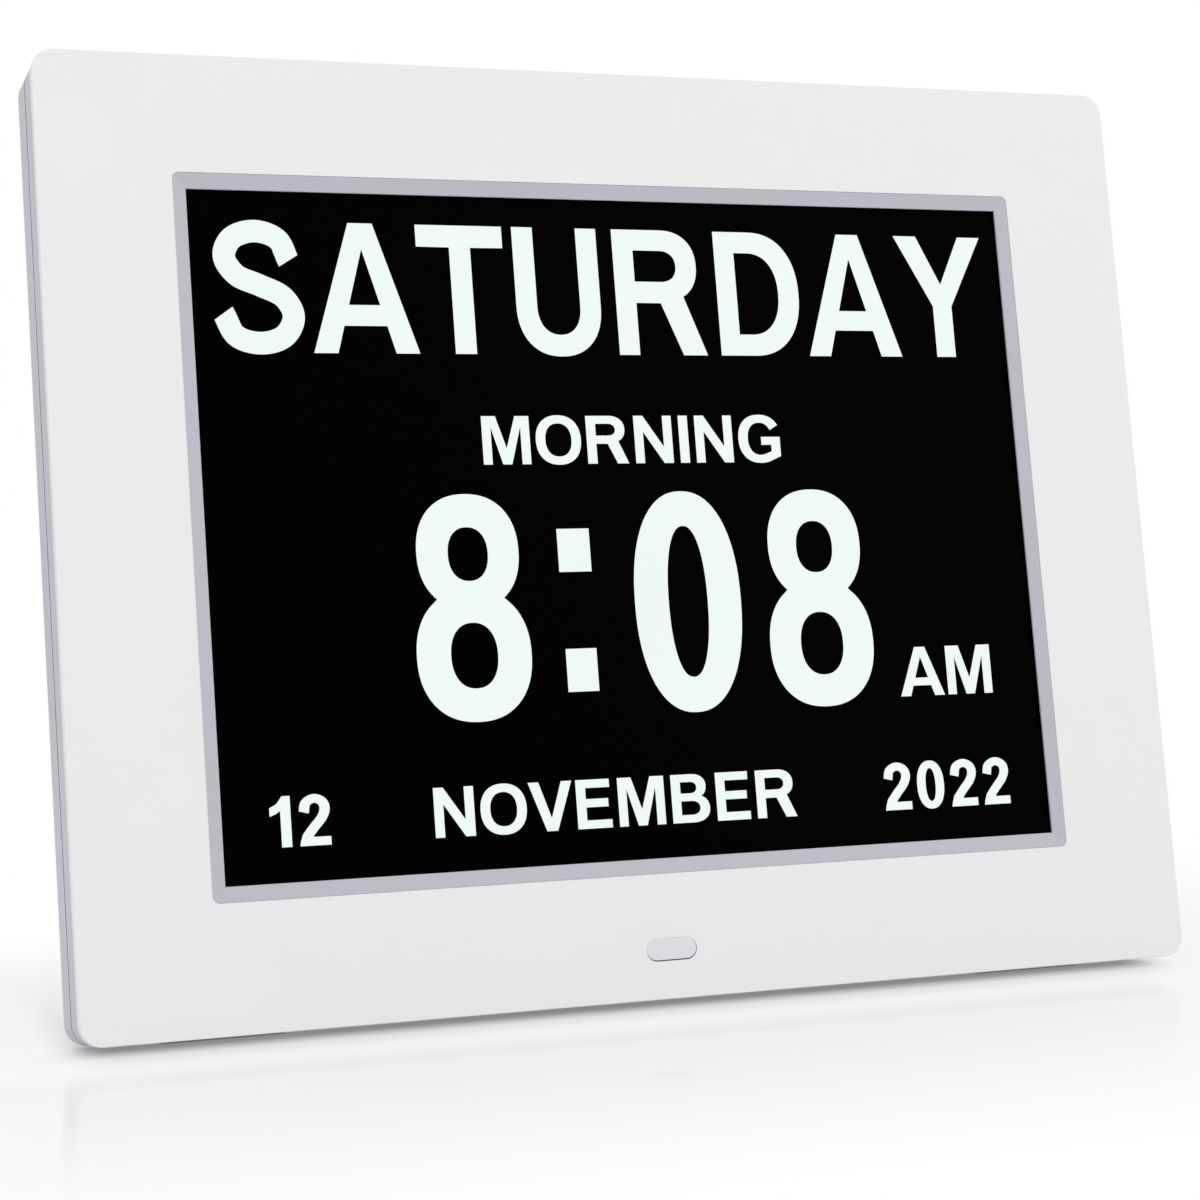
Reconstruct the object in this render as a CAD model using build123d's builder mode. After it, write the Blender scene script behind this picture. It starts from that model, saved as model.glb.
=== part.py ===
from build123d import *

import math
import os

# Digital day clock with an 8 inch class display, leaning back on a fold-out leg.
# Lengths are millimetres and angles are degrees. Places on the clock are given in the panel's own
# directions: x to the right as seen from the front, height up the slope of the panel from its bottom
# edge, and depth back from the front face.

# Stance
lean_angle = 12.0  # the panel leans back from upright
foot_proud = 0.3  # the case stands this far above the floor
overrun = 1.0  # cuts start or end this far outside what they cut

# Front plate and the screen opening
screen_width = 162.4
screen_height = 123.5
frame_side = 26.2  # white border left and right of the screen
frame_top = 24.4
frame_bottom = 25.4
plate_thickness = 2.0
plate_corner_radius = 4.0
plate_edge_round = 0.25

# Trim ring between the plate and the screen
trim_side = 2.45  # left and right of the screen
trim_level = 2.75  # above and below the screen
trim_corner_radius = 1.3
trim_land = 0.2  # flat rim outside the slope
trim_outer_drop = 0.15  # depth of the rim
trim_inner_drop = 0.8  # depth of the slope's inner edge
trim_clearance = 0.1

# Pill window of the remote sensor
sensor_length = 9.65
sensor_width = 3.85
sensor_height = 8.9  # middle of the window above the plate's bottom edge
sensor_proud = 0.3
sensor_edge_round = 0.25
sensor_clearance = 0.1
sensor_flange = 1.2
sensor_flange_thickness = 0.8

# Case: front housing and rear cover
reveal = 0.1  # the case's side stands in from the plate's edge
skirt_wall = 2.0
housing_depth = 6.6
web_thickness = 1.6
seam_gap = 0.5  # shadow line between the two halves
lip_length = 2.0
lip_thickness = 1.2
lip_gap = 0.15
rim_depth = 8.2
rim_edge_round = 1.0
inner_corner_radius = 0.6  # least radius of the case's inside corners
cover_wall = 2.0
box_width = 170.0  # raised box on the back
box_height = 124.0
box_bottom = 26.0
box_depth = 11.0
box_corner_radius = 12.0
box_draft = 2.5  # the box's sides lean in by this much at its back
box_edge_round = 3.0

# Display module
lcd_border_side = 10.5
lcd_border_height = 8.75
lcd_thickness = 5.6
lcd_front = 1.2  # depth of its front
lcd_clearance = 0.5
sheet_metal = 0.4
bezel_margin = 1.0  # the metal opening is larger than the visible screen
glass_border = 6.0
glass_thickness = 1.4
tray_gap = 0.1
tray_floor = 0.8
led_height = 2.6
led_gap = 0.3
clip_spacing = 80.0
clip_height = 10.0
clip_overlap = 5.0
clip_overhang = 3.5
clip_thickness = 0.8

# Screws, and the posts that they go into
post_radius = 3.0
post_step = 0.5  # posts end this far behind the front housing's rim
pilot_clearance = 0.05
cover_boss_radius = 4.0
screw_shank_radius = 1.1
screw_head_radius = 2.4
screw_head_height = 1.5
screw_hole_radius = 1.4
screw_recess_depth = 0.8
screw_recess_width = 0.6
counterbore_radius = 2.7
counterbore_depth = 2.2
cover_screw_length = 9.5
short_screw_length = 3.0
board_screw_length = 6.0

# Main board
board_front = 13.3
board_thickness = 1.6
board_height = 62.0
board_lift = 10.0  # above the inside of the box's lower wall
board_side_gap = 5.0
board_speaker_offset = 4.0  # its other side edge, from the middle of the loudspeaker
board_hole_inset = 4.0
processor_size = 14.0
memory_size = 10.0
memory_length = 12.0
chip_thickness = 1.4
processor_place_shares = (-0.14, 0.10)
memory_place_shares = (0.05, 0.10)
driver_place_shares = (-0.30, 0.22)
capacitor_radius = 3.2
capacitor_length = 7.0
capacitor_vent_width = 0.4
capacitor_place_shares = ((0.43, -0.05), (0.43, 0.10))
cell_radius = 10.0
cell_thickness = 3.2
cell_clearance = 0.15
cell_edge_round = 0.5
cell_place_shares = (0.28, 0.17)
holder_wall = 1.6
holder_floor = 0.8
holder_notch = 9.0
connector_height = 2.2
connector_length = 4.5
connector_margin = 2.0
connector_inset = 1.5  # from the board's edge

# Supply socket in the side of the box
socket_rise = 14.0  # above the board's lower edge
socket_length = 14.0
socket_width = 9.0
socket_height = 10.8
socket_axis = 6.5  # behind the board
socket_gap = 0.3
socket_nose_radius = 3.4
socket_nose_length = 3.0
socket_nose_clearance = 0.2
socket_bore_radius = 2.75
socket_bore_depth = 9.5
socket_pin_radius = 1.0
socket_pin_gap = 1.0

# Buttons on the back, and their board
button_names = ("power", "menu", "exit", "up", "down", "left", "right")
button_pitch = 16.0
button_drop = 12.0  # the row lies below the box's upper edge
button_radius = 4.0
button_proud = 1.2
button_dome = 0.8
button_gap = 0.2
button_flange = 1.2
button_flange_thickness = 1.0
button_seat_gap = 0.1
button_stem_radius = 2.0
button_stem_length = 0.5
button_travel = 0.5
button_end_gap = 0.15
switch_size = 6.0
switch_body_height = 3.2
switch_plunger_radius = 1.7
switch_plunger_height = 0.6
button_board_height = 13.0
button_board_thickness = 1.2
button_board_margin = 13.0
button_boss_radius = 2.5
button_boss_inset = 4.0

# Loudspeaker
speaker_radius = 16.0
speaker_rise = 36.0  # above the box's lower edge
speaker_rim_width = 2.0
speaker_rim_thickness = 1.5
speaker_depth = 7.4
speaker_magnet_radius = 8.0
speaker_magnet_depth = 2.5
speaker_throat_radius = 9.0
speaker_wall = 0.8
speaker_gap = 0.1
cone_thickness = 0.5
cone_cap_radius = 4.0
cone_rim_gap = 2.0
cone_drop = 0.6  # below the basket's rim
ring_clearance = 0.2
ring_wall = 1.5
ring_height = 5.0
grille_hole_radius = 1.2
grille_ring_radii = (5.0, 10.0)
grille_ring_counts = (6, 12)

# Sensor board behind the pill window
sensor_board_depth = 6.0
sensor_board_thickness = 1.0
sensor_board_width = 28.0
sensor_board_height = 9.0
sensor_post_radius = 2.0
sensor_post_inset = 3.0
sensor_peg_radius = 0.9
sensor_peg_length = 0.5
sensor_peg_clearance = 0.1
receiver_width = 6.0
receiver_height = 5.0
receiver_body = 0.7
receiver_lens_radius = 1.8
receiver_lens_height = 0.7
receiver_lens_round = 0.5

# Flat cables
cable_thickness = 0.3
cable_bend = 1.5
cable_lift = 0.15  # over the sheet that it lies on
cable_rise = 1.3  # of the connector's mouth above the board
display_cable_width = 30.0
display_cable_run = 18.0
display_cable_margin = 4.0
display_cable_place_share = -0.22
button_cable_width = 12.0
button_cable_drop = 9.0
button_cable_slope = 12.0
button_cable_place_share = 0.12
speaker_cable_width = 6.0
speaker_cable_stand = 4.5  # from the magnet's side
speaker_cable_reach = 3.0
sensor_cable_width = 8.0
sensor_cable_slope = 13.0
sensor_cable_start = 3.0
sensor_cable_step = 2.0

# Openings in the back
keyhole_spacing = 120.0
keyhole_rise = 84.0  # of the round part above the box's lower edge
keyhole_radius = 4.0
keyhole_slot_radius = 2.0
keyhole_slot_length = 8.0
vent_count = 10
vent_pitch = 6.0
vent_length = 18.0
vent_width = 2.2
vent_rise = 80.0

# Stand leg, in a well in the back
leg_open_angle = 26.0  # between the leg and the back of the clock
hinge_height = 78.0
leg_width = 50.0
leg_tip_width = 36.0
leg_thickness = 5.0
leg_barrel_radius = 3.5
leg_skin = 1.8
leg_rib = 1.6
leg_wall = 2.0
leg_columns = 3  # hollows side by side
leg_rib_shares = (0.36, 0.66)  # of the leg's length, down from the hinge
leg_pocket_end = 6.0
stop_gap = 0.1
well_depth = 7.5
well_clearance = 0.5
tub_wall = 2.2
tub_floor = 2.0
tenon_width = 26.0
tenon_thickness = 2.4
tenon_length = 4.0
tenon_clearance = 0.05
leg_foot_height = 7.0  # along the leg
leg_foot_lip = 0.4
leg_foot_round = 1.5
pin_radius = 1.5
pin_grip = 8.0
pin_seat_clearance = 0.02
pin_running_clearance = 0.05
pin_end_gap = 0.4
hinge_boss_length = 4.0
hinge_boss_inset = 0.1  # below the back face
washer_radius = 3.3
washer_thickness = 1.0
washer_gap = 0.1

# Rubber feet under the case
foot_length = 22.0
foot_spacing = 160.0
foot_depth = 2.0
foot_margin = 0.2  # in front of the rounding of the rim's rear edge
foot_pocket = 0.7
foot_clearance = 0.05

# Places worked out from the sizes above
plate_width = screen_width + 2 * frame_side
plate_height = frame_bottom + screen_height + frame_top
screen_middle = frame_bottom + screen_height / 2
housing_back = plate_thickness + housing_depth
web_back = plate_thickness + web_thickness
rim_front = housing_back + seam_gap
rim_back = rim_front + rim_depth
body_depth = rim_back + box_depth
wall_inside = body_depth - cover_wall
skirt_inside = reveal + skirt_wall
lip_outside = skirt_inside + lip_gap
lip_inside = lip_outside + lip_thickness
box_middle = box_bottom + box_height / 2
box_inner_half = box_width / 2 - box_draft - cover_wall

lcd_width = screen_width + 2 * lcd_border_side
lcd_height = screen_height + 2 * lcd_border_height
lcd_back = lcd_front + lcd_thickness
glass_width = screen_width + 2 * glass_border
glass_height = screen_height + 2 * glass_border
glass_front = lcd_front + sheet_metal
glass_back = glass_front + glass_thickness
tray_inside = lcd_back - tray_floor

# Posts stand midway between the display's edge and the case's wall
post_x = (lcd_width / 2 + lcd_clearance + plate_width / 2 - skirt_inside) / 2
post_low = (screen_middle - lcd_height / 2 - lcd_clearance + skirt_inside) / 2
post_high = (screen_middle + lcd_height / 2 + lcd_clearance + plate_height - skirt_inside) / 2
post_top = housing_back + post_step
post_heights = (post_low, screen_middle, post_high)
cover_screw_places = [(side * post_x, height) for side in (-1, 1) for height in post_heights]
clip_places = [(side * post_x, screen_middle + end * clip_spacing / 2) for side in (-1, 1) for end in (-1, 1)]
pilot_radius = screw_shank_radius + pilot_clearance

button_row = box_bottom + box_height - button_drop
button_back = wall_inside - button_seat_gap
button_front = button_back - button_flange_thickness - button_stem_length
switch_top = button_front - button_travel - button_end_gap
switch_seat = switch_top - switch_plunger_height - switch_body_height
button_board_front = switch_seat - button_board_thickness
button_x = [(number - (len(button_names) - 1) / 2) * button_pitch for number in range(len(button_names))]
button_board_width = (len(button_names) - 1) * button_pitch + 2 * button_board_margin
button_boss_x = button_board_width / 2 - button_boss_inset
button_boss_places = [(-button_boss_x, button_row), (button_boss_x, button_row)]

sensor_post_x = sensor_board_width / 2 - sensor_post_inset
sensor_post_places = [(-sensor_post_x, sensor_height), (sensor_post_x, sensor_height)]

# The leg's reach follows from the stance: its foot and the case's feet share the floor
lean = math.radians(lean_angle)
leg_open = math.radians(leg_open_angle)
leg_slope = leg_open - lean
rim_turn_height = reveal + rim_edge_round
rim_turn_depth = rim_back - rim_edge_round
foot_far = rim_turn_depth - foot_margin
foot_near = foot_far - foot_depth
plate_rise = (
    foot_proud + rim_turn_depth * math.sin(lean) + rim_edge_round - rim_turn_height * math.cos(lean)
)
hinge_depth = body_depth - leg_barrel_radius
hinge_z = plate_rise + hinge_height * math.cos(lean) - hinge_depth * math.sin(lean)
hinge_y = hinge_height * math.sin(lean) + hinge_depth * math.cos(lean)
leg_reach = hinge_z / math.cos(leg_slope)
leg_length = leg_reach - leg_foot_height
leg_foot_half = leg_thickness / 2 + leg_foot_lip
overall_depth = hinge_y + hinge_z * math.tan(leg_slope) + leg_foot_half / math.cos(leg_slope)

# The leg's heel meets the well's floor when the leg stands open
well_floor = body_depth - well_depth
heel_room = hinge_depth - well_floor - stop_gap
leg_heel = (heel_room - leg_thickness / 2 * math.cos(leg_open)) / math.sin(leg_open)
heel_swing = math.hypot(leg_heel, leg_thickness / 2)
hinge_side_gap = washer_thickness + 2 * washer_gap
tub_half = leg_width / 2 + hinge_side_gap + tub_wall

# The loudspeaker sits midway between the leg's well and the box's side; the board goes from it to the socket
speaker_x = -(tub_half + box_inner_half) / 2
speaker_height = box_bottom + speaker_rise
board_back = board_front + board_thickness
board_right = box_inner_half - board_side_gap
board_left = speaker_x + board_speaker_offset
board_width = board_right - board_left
board_middle_x = (board_left + board_right) / 2
board_low = box_bottom + cover_wall + board_lift
board_middle = board_low + board_height / 2
board_hole_x = board_width / 2 - board_hole_inset
board_hole_y = board_height / 2 - board_hole_inset
board_hole_places = [
    (board_middle_x + side * board_hole_x, board_middle + end * board_hole_y)
    for side in (-1, 1)
    for end in (-1, 1)
]

# Directions and planes
up = Vector(0, math.sin(lean), math.cos(lean))
back = Vector(0, math.cos(lean), -math.sin(lean))
corner = Vector(0, -overall_depth / 2, plate_rise)
depth_axis = Axis(corner, back)
hinge_point = corner + up * hinge_height + back * hinge_depth
leg_back = Vector(0, math.cos(leg_slope), math.sin(leg_slope))
leg_plane = Plane(origin=hinge_point, x_dir=(1, 0, 0), z_dir=-leg_back)


def layer(depth):
    """Plane parallel to the front face at a depth, seen from the front: x right, y up the panel."""
    return Plane(origin=corner + back * depth, x_dir=(1, 0, 0), z_dir=-back)


def from_rear(depth):
    """The same plane seen from behind: x to the clock's left, y up the panel, normal to the back."""
    return Plane(origin=corner + back * depth, x_dir=(-1, 0, 0), z_dir=back)


def section(x):
    """Plane square to the clock's width: x back through the depth, y up the panel."""
    return Plane(origin=corner + Vector(x, 0, 0), x_dir=back, z_dir=(1, 0, 0))


def shelf(height):
    """Plane square to the panel's height: x right, y back through the depth."""
    return Plane(origin=corner + up * height, x_dir=(1, 0, 0), z_dir=up)


def leg_section(x):
    """Plane square to the hinge axis: x to the leg's outer face, y up the leg, origin on the axis."""
    return Plane(origin=hinge_point + Vector(x, 0, 0), x_dir=leg_back, z_dir=(1, 0, 0))


def body_outline(inset):
    """Rounded outline of the clock in the open sketch, set in from the plate's edge."""
    corner_radius = max(plate_corner_radius - inset, inner_corner_radius)
    with Locations((0, plate_height / 2)):
        RectangleRounded(plate_width - 2 * inset, plate_height - 2 * inset, corner_radius)


def box_outline(inset):
    """Rounded outline of the raised box in the open sketch, set in from its base."""
    with Locations((0, box_middle)):
        RectangleRounded(box_width - 2 * inset, box_height - 2 * inset, box_corner_radius - inset)


def screen_rectangle(margin_x, margin_y):
    """Square-cornered outline round the screen in the open sketch."""
    with Locations((0, screen_middle)):
        Rectangle(screen_width + 2 * margin_x, screen_height + 2 * margin_y)


def pill(margin):
    """Outline of the pill window in the open sketch, widened by a margin."""
    with Locations((0, sensor_height)):
        SlotOverall(sensor_length + 2 * margin, sensor_width + 2 * margin)


def leg_half_width(drop):
    """Half the leg's width at a distance below the barrel, where it starts to taper."""
    taper = (leg_width - leg_tip_width) / 2 / (leg_length - leg_barrel_radius)
    return leg_width / 2 - taper * (drop - leg_barrel_radius)


def leg_outline(side_gap, top):
    """The whole leg: straight at the hinge, then tapering to the tip; y runs up from the hinge axis."""
    half = leg_width / 2 + side_gap
    tip_half = leg_tip_width / 2 + side_gap
    Polygon(
        (half, top),
        (half, -leg_barrel_radius),
        (tip_half, -leg_length),
        (-tip_half, -leg_length),
        (-half, -leg_barrel_radius),
        (-half, top),
        align=None,
    )


def leg_pocket(top, bottom):
    """The hollow inside the leg, a wall's thickness in from its tapering sides."""
    top_half = leg_half_width(top) - leg_wall
    bottom_half = leg_half_width(bottom) - leg_wall
    Polygon((top_half, -top), (bottom_half, -bottom), (-bottom_half, -bottom), (-top_half, -top), align=None)


def board_place(shares):
    """Point on the main board, given as shares of its width and height from its middle."""
    return (board_middle_x + shares[0] * board_width, board_middle + shares[1] * board_height)


def keep(name, built):
    """Labels a finished piece and writes it out under its own name."""
    built.part.label = name
    export_step(built.part, f"parts/{name}.step")


def screw_set(places, seat, length, facing):
    """Pan-head screws with cross recesses; facing is 1 with the heads to the back, -1 to the front."""
    with BuildPart() as screws:
        with BuildSketch(layer(seat)):
            with Locations(*places):
                Circle(screw_head_radius)
        extrude(amount=screw_head_height, dir=back * facing)
        with BuildSketch(layer(seat)):
            with Locations(*places):
                Circle(screw_shank_radius)
        extrude(amount=length, dir=back * -facing)
        with BuildSketch(layer(seat + facing * screw_head_height)):
            with Locations(*places):
                Rectangle(2 * screw_shank_radius, screw_recess_width)
                Rectangle(screw_recess_width, 2 * screw_shank_radius)
        extrude(amount=screw_recess_depth, dir=back * -facing, mode=Mode.SUBTRACT)
    return screws


def flat_cable(plane, route, width):
    """Flat cable of one thickness whose route bends in the given plane."""
    with BuildPart() as cable:
        with BuildSketch(plane):
            with BuildLine():
                FilletPolyline(*route, radius=cable_bend)
            trace(line_width=cable_thickness)
        extrude(amount=width / 2, both=True)
    return cable


os.makedirs("parts", exist_ok=True)

# Front plate: window for the trim ring, hole for the pill, shallow pocket behind for the display
with BuildPart() as front_panel:
    with BuildSketch(layer(0)):
        body_outline(0)
    extrude(amount=plate_thickness, dir=back)
    fillet(front_panel.faces().sort_by(depth_axis)[0].edges(), plate_edge_round)
    with BuildSketch(layer(-overrun)):
        with Locations((0, screen_middle)):
            RectangleRounded(
                screen_width + 2 * (trim_side + trim_clearance),
                screen_height + 2 * (trim_level + trim_clearance),
                trim_corner_radius + trim_clearance,
            )
        pill(sensor_clearance)
    extrude(amount=plate_thickness + 2 * overrun, dir=back, mode=Mode.SUBTRACT)
    with BuildSketch(layer(lcd_front)):
        screen_rectangle(lcd_border_side + lcd_clearance, lcd_border_height + lcd_clearance)
    extrude(amount=plate_thickness, dir=back, mode=Mode.SUBTRACT)
keep("front_panel", front_panel)

# Trim ring: a narrow flat rim, then a slope down to the screen
with BuildPart() as screen_trim:
    with BuildSketch(layer(trim_outer_drop)):
        with Locations((0, screen_middle)):
            trim_outer_width = screen_width + 2 * trim_side
            trim_outer_height = screen_height + 2 * trim_level
            RectangleRounded(trim_outer_width, trim_outer_height, trim_corner_radius)
    extrude(amount=lcd_front - trim_outer_drop, dir=back)
    with BuildSketch(layer(trim_outer_drop)):
        screen_rectangle(trim_side - trim_land, trim_level - trim_land)
    with BuildSketch(layer(trim_inner_drop)):
        screen_rectangle(0, 0)
    loft(mode=Mode.SUBTRACT)
    with BuildSketch(layer(trim_outer_drop)):
        screen_rectangle(0, 0)
    extrude(amount=lcd_front, dir=back, mode=Mode.SUBTRACT)
keep("screen_trim", screen_trim)

# Pill window: passes through the plate and the housing's web, with a flange behind
with BuildPart() as sensor_window:
    with BuildSketch(layer(-sensor_proud)):
        pill(0)
    extrude(amount=sensor_proud + web_back, dir=back)
    fillet(sensor_window.faces().sort_by(depth_axis)[0].edges(), sensor_edge_round)
    with BuildSketch(layer(web_back)):
        pill(sensor_flange)
    extrude(amount=sensor_flange_thickness, dir=back)
keep("sensor_window", sensor_window)

# Front housing: skirt and web, posts for the cover screws, display clips and sensor board
with BuildPart() as front_housing:
    with BuildSketch(layer(plate_thickness)):
        body_outline(reveal)
    extrude(amount=housing_depth, dir=back)
    with BuildSketch(layer(web_back)):
        body_outline(skirt_inside)
    extrude(amount=housing_depth, dir=back, mode=Mode.SUBTRACT)
    with BuildSketch(layer(plate_thickness - overrun)):
        screen_rectangle(lcd_border_side + lcd_clearance, lcd_border_height + lcd_clearance)
        pill(sensor_clearance)
    extrude(amount=web_thickness + 2 * overrun, dir=back, mode=Mode.SUBTRACT)
    with BuildSketch(layer(web_back)):
        with Locations(*cover_screw_places):
            Circle(post_radius)
    extrude(amount=post_top - web_back, dir=back)
    with BuildSketch(layer(web_back)):
        with Locations(*clip_places):
            Circle(post_radius)
    extrude(amount=lcd_back - web_back, dir=back)
    with BuildSketch(layer(web_back)):
        with Locations(*sensor_post_places):
            Circle(sensor_post_radius)
    extrude(amount=sensor_board_depth - web_back, dir=back)
    with BuildSketch(layer(sensor_board_depth)):
        with Locations(*sensor_post_places):
            Circle(sensor_peg_radius)
    extrude(amount=sensor_board_thickness + sensor_peg_length, dir=back)
    with BuildSketch(layer(web_back)):
        with Locations(*cover_screw_places, *clip_places):
            Circle(pilot_radius)
    extrude(amount=body_depth, dir=back, mode=Mode.SUBTRACT)
keep("front_housing", front_housing)

# Display module: metal bezel, glass, light guide with its light strip, and the back tray
with BuildPart() as lcd_bezel:
    with BuildSketch(layer(lcd_front)):
        screen_rectangle(lcd_border_side, lcd_border_height)
    extrude(amount=lcd_thickness, dir=back)
    with BuildSketch(layer(glass_front)):
        screen_rectangle(lcd_border_side - sheet_metal, lcd_border_height - sheet_metal)
    extrude(amount=lcd_thickness, dir=back, mode=Mode.SUBTRACT)
    with BuildSketch(layer(lcd_front - overrun)):
        screen_rectangle(bezel_margin, bezel_margin)
    extrude(amount=sheet_metal + 2 * overrun, dir=back, mode=Mode.SUBTRACT)
keep("lcd_bezel", lcd_bezel)

with BuildPart() as lcd_glass:
    with BuildSketch(layer(glass_front)):
        screen_rectangle(glass_border, glass_border)
    extrude(amount=glass_thickness, dir=back)
keep("lcd_glass", lcd_glass)

with BuildPart() as light_guide:
    with BuildSketch(layer(glass_back)):
        with Locations((0, screen_middle + (led_height + led_gap) / 2)):
            Rectangle(glass_width, glass_height - led_height - led_gap)
    extrude(amount=tray_inside - glass_back, dir=back)
keep("light_guide", light_guide)

with BuildPart() as led_strip:
    with BuildSketch(layer(glass_back)):
        with Locations((0, screen_middle - (glass_height - led_height) / 2)):
            Rectangle(glass_width, led_height)
    extrude(amount=tray_inside - glass_back, dir=back)
keep("led_strip", led_strip)

with BuildPart() as lcd_tray:
    tray_inset = sheet_metal + tray_gap
    with BuildSketch(layer(glass_front)):
        screen_rectangle(lcd_border_side - tray_inset, lcd_border_height - tray_inset)
    extrude(amount=lcd_back - glass_front, dir=back)
    with BuildSketch(layer(glass_front)):
        screen_rectangle(glass_border + tray_gap, glass_border + tray_gap)
    extrude(amount=tray_inside - glass_front, dir=back, mode=Mode.SUBTRACT)
keep("lcd_tray", lcd_tray)

# Clips that hold the display module's back edge
with BuildPart() as lcd_clips:
    clip_inner = lcd_width / 2 - clip_overlap
    clip_outer = post_x + clip_overhang
    with BuildSketch(layer(lcd_back)):
        for side, height in clip_places:
            with Locations((math.copysign((clip_inner + clip_outer) / 2, side), height)):
                Rectangle(clip_outer - clip_inner, clip_height)
        with Locations(*clip_places):
            Circle(screw_hole_radius, mode=Mode.SUBTRACT)
    extrude(amount=clip_thickness, dir=back)
keep("lcd_clips", lcd_clips)

clip_screws = screw_set(clip_places, lcd_back + clip_thickness, short_screw_length, 1)
keep("clip_screws", clip_screws)

# Sensor board: pegged on the housing's posts, with the receiver facing the pill window
with BuildPart() as sensor_board:
    with BuildSketch(layer(sensor_board_depth)):
        with Locations((0, sensor_height)):
            Rectangle(sensor_board_width, sensor_board_height)
        with Locations(*sensor_post_places):
            Circle(sensor_peg_radius + sensor_peg_clearance, mode=Mode.SUBTRACT)
    extrude(amount=sensor_board_thickness, dir=back)
keep("sensor_board", sensor_board)

with BuildPart() as ir_receiver:
    with BuildSketch(layer(sensor_board_depth)):
        with Locations((0, sensor_height)):
            Rectangle(receiver_width, receiver_height)
    extrude(amount=receiver_body, dir=-back)
    with BuildSketch(layer(sensor_board_depth - receiver_body)):
        with Locations((0, sensor_height)):
            Circle(receiver_lens_radius)
    extrude(amount=receiver_lens_height, dir=-back)
    fillet(ir_receiver.faces().sort_by(depth_axis)[0].edges(), receiver_lens_round)
keep("ir_receiver", ir_receiver)

# Outer form of the raised box on the back
with BuildPart() as box_form:
    with BuildSketch(layer(rim_back)):
        box_outline(0)
    with BuildSketch(layer(body_depth)):
        box_outline(box_draft)
    loft()
    fillet(box_form.faces().sort_by(depth_axis)[-1].edges(), box_edge_round)

# Walls round the leg's well, trimmed to the box
with BuildPart() as leg_tub:
    with BuildSketch(layer(well_floor - tub_floor)):
        with Locations((0, hinge_height)):
            leg_outline(hinge_side_gap + tub_wall, heel_swing + well_clearance + tub_wall)
    extrude(amount=well_depth + tub_floor, dir=back)
    add(box_form.part, mode=Mode.INTERSECT)

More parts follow.
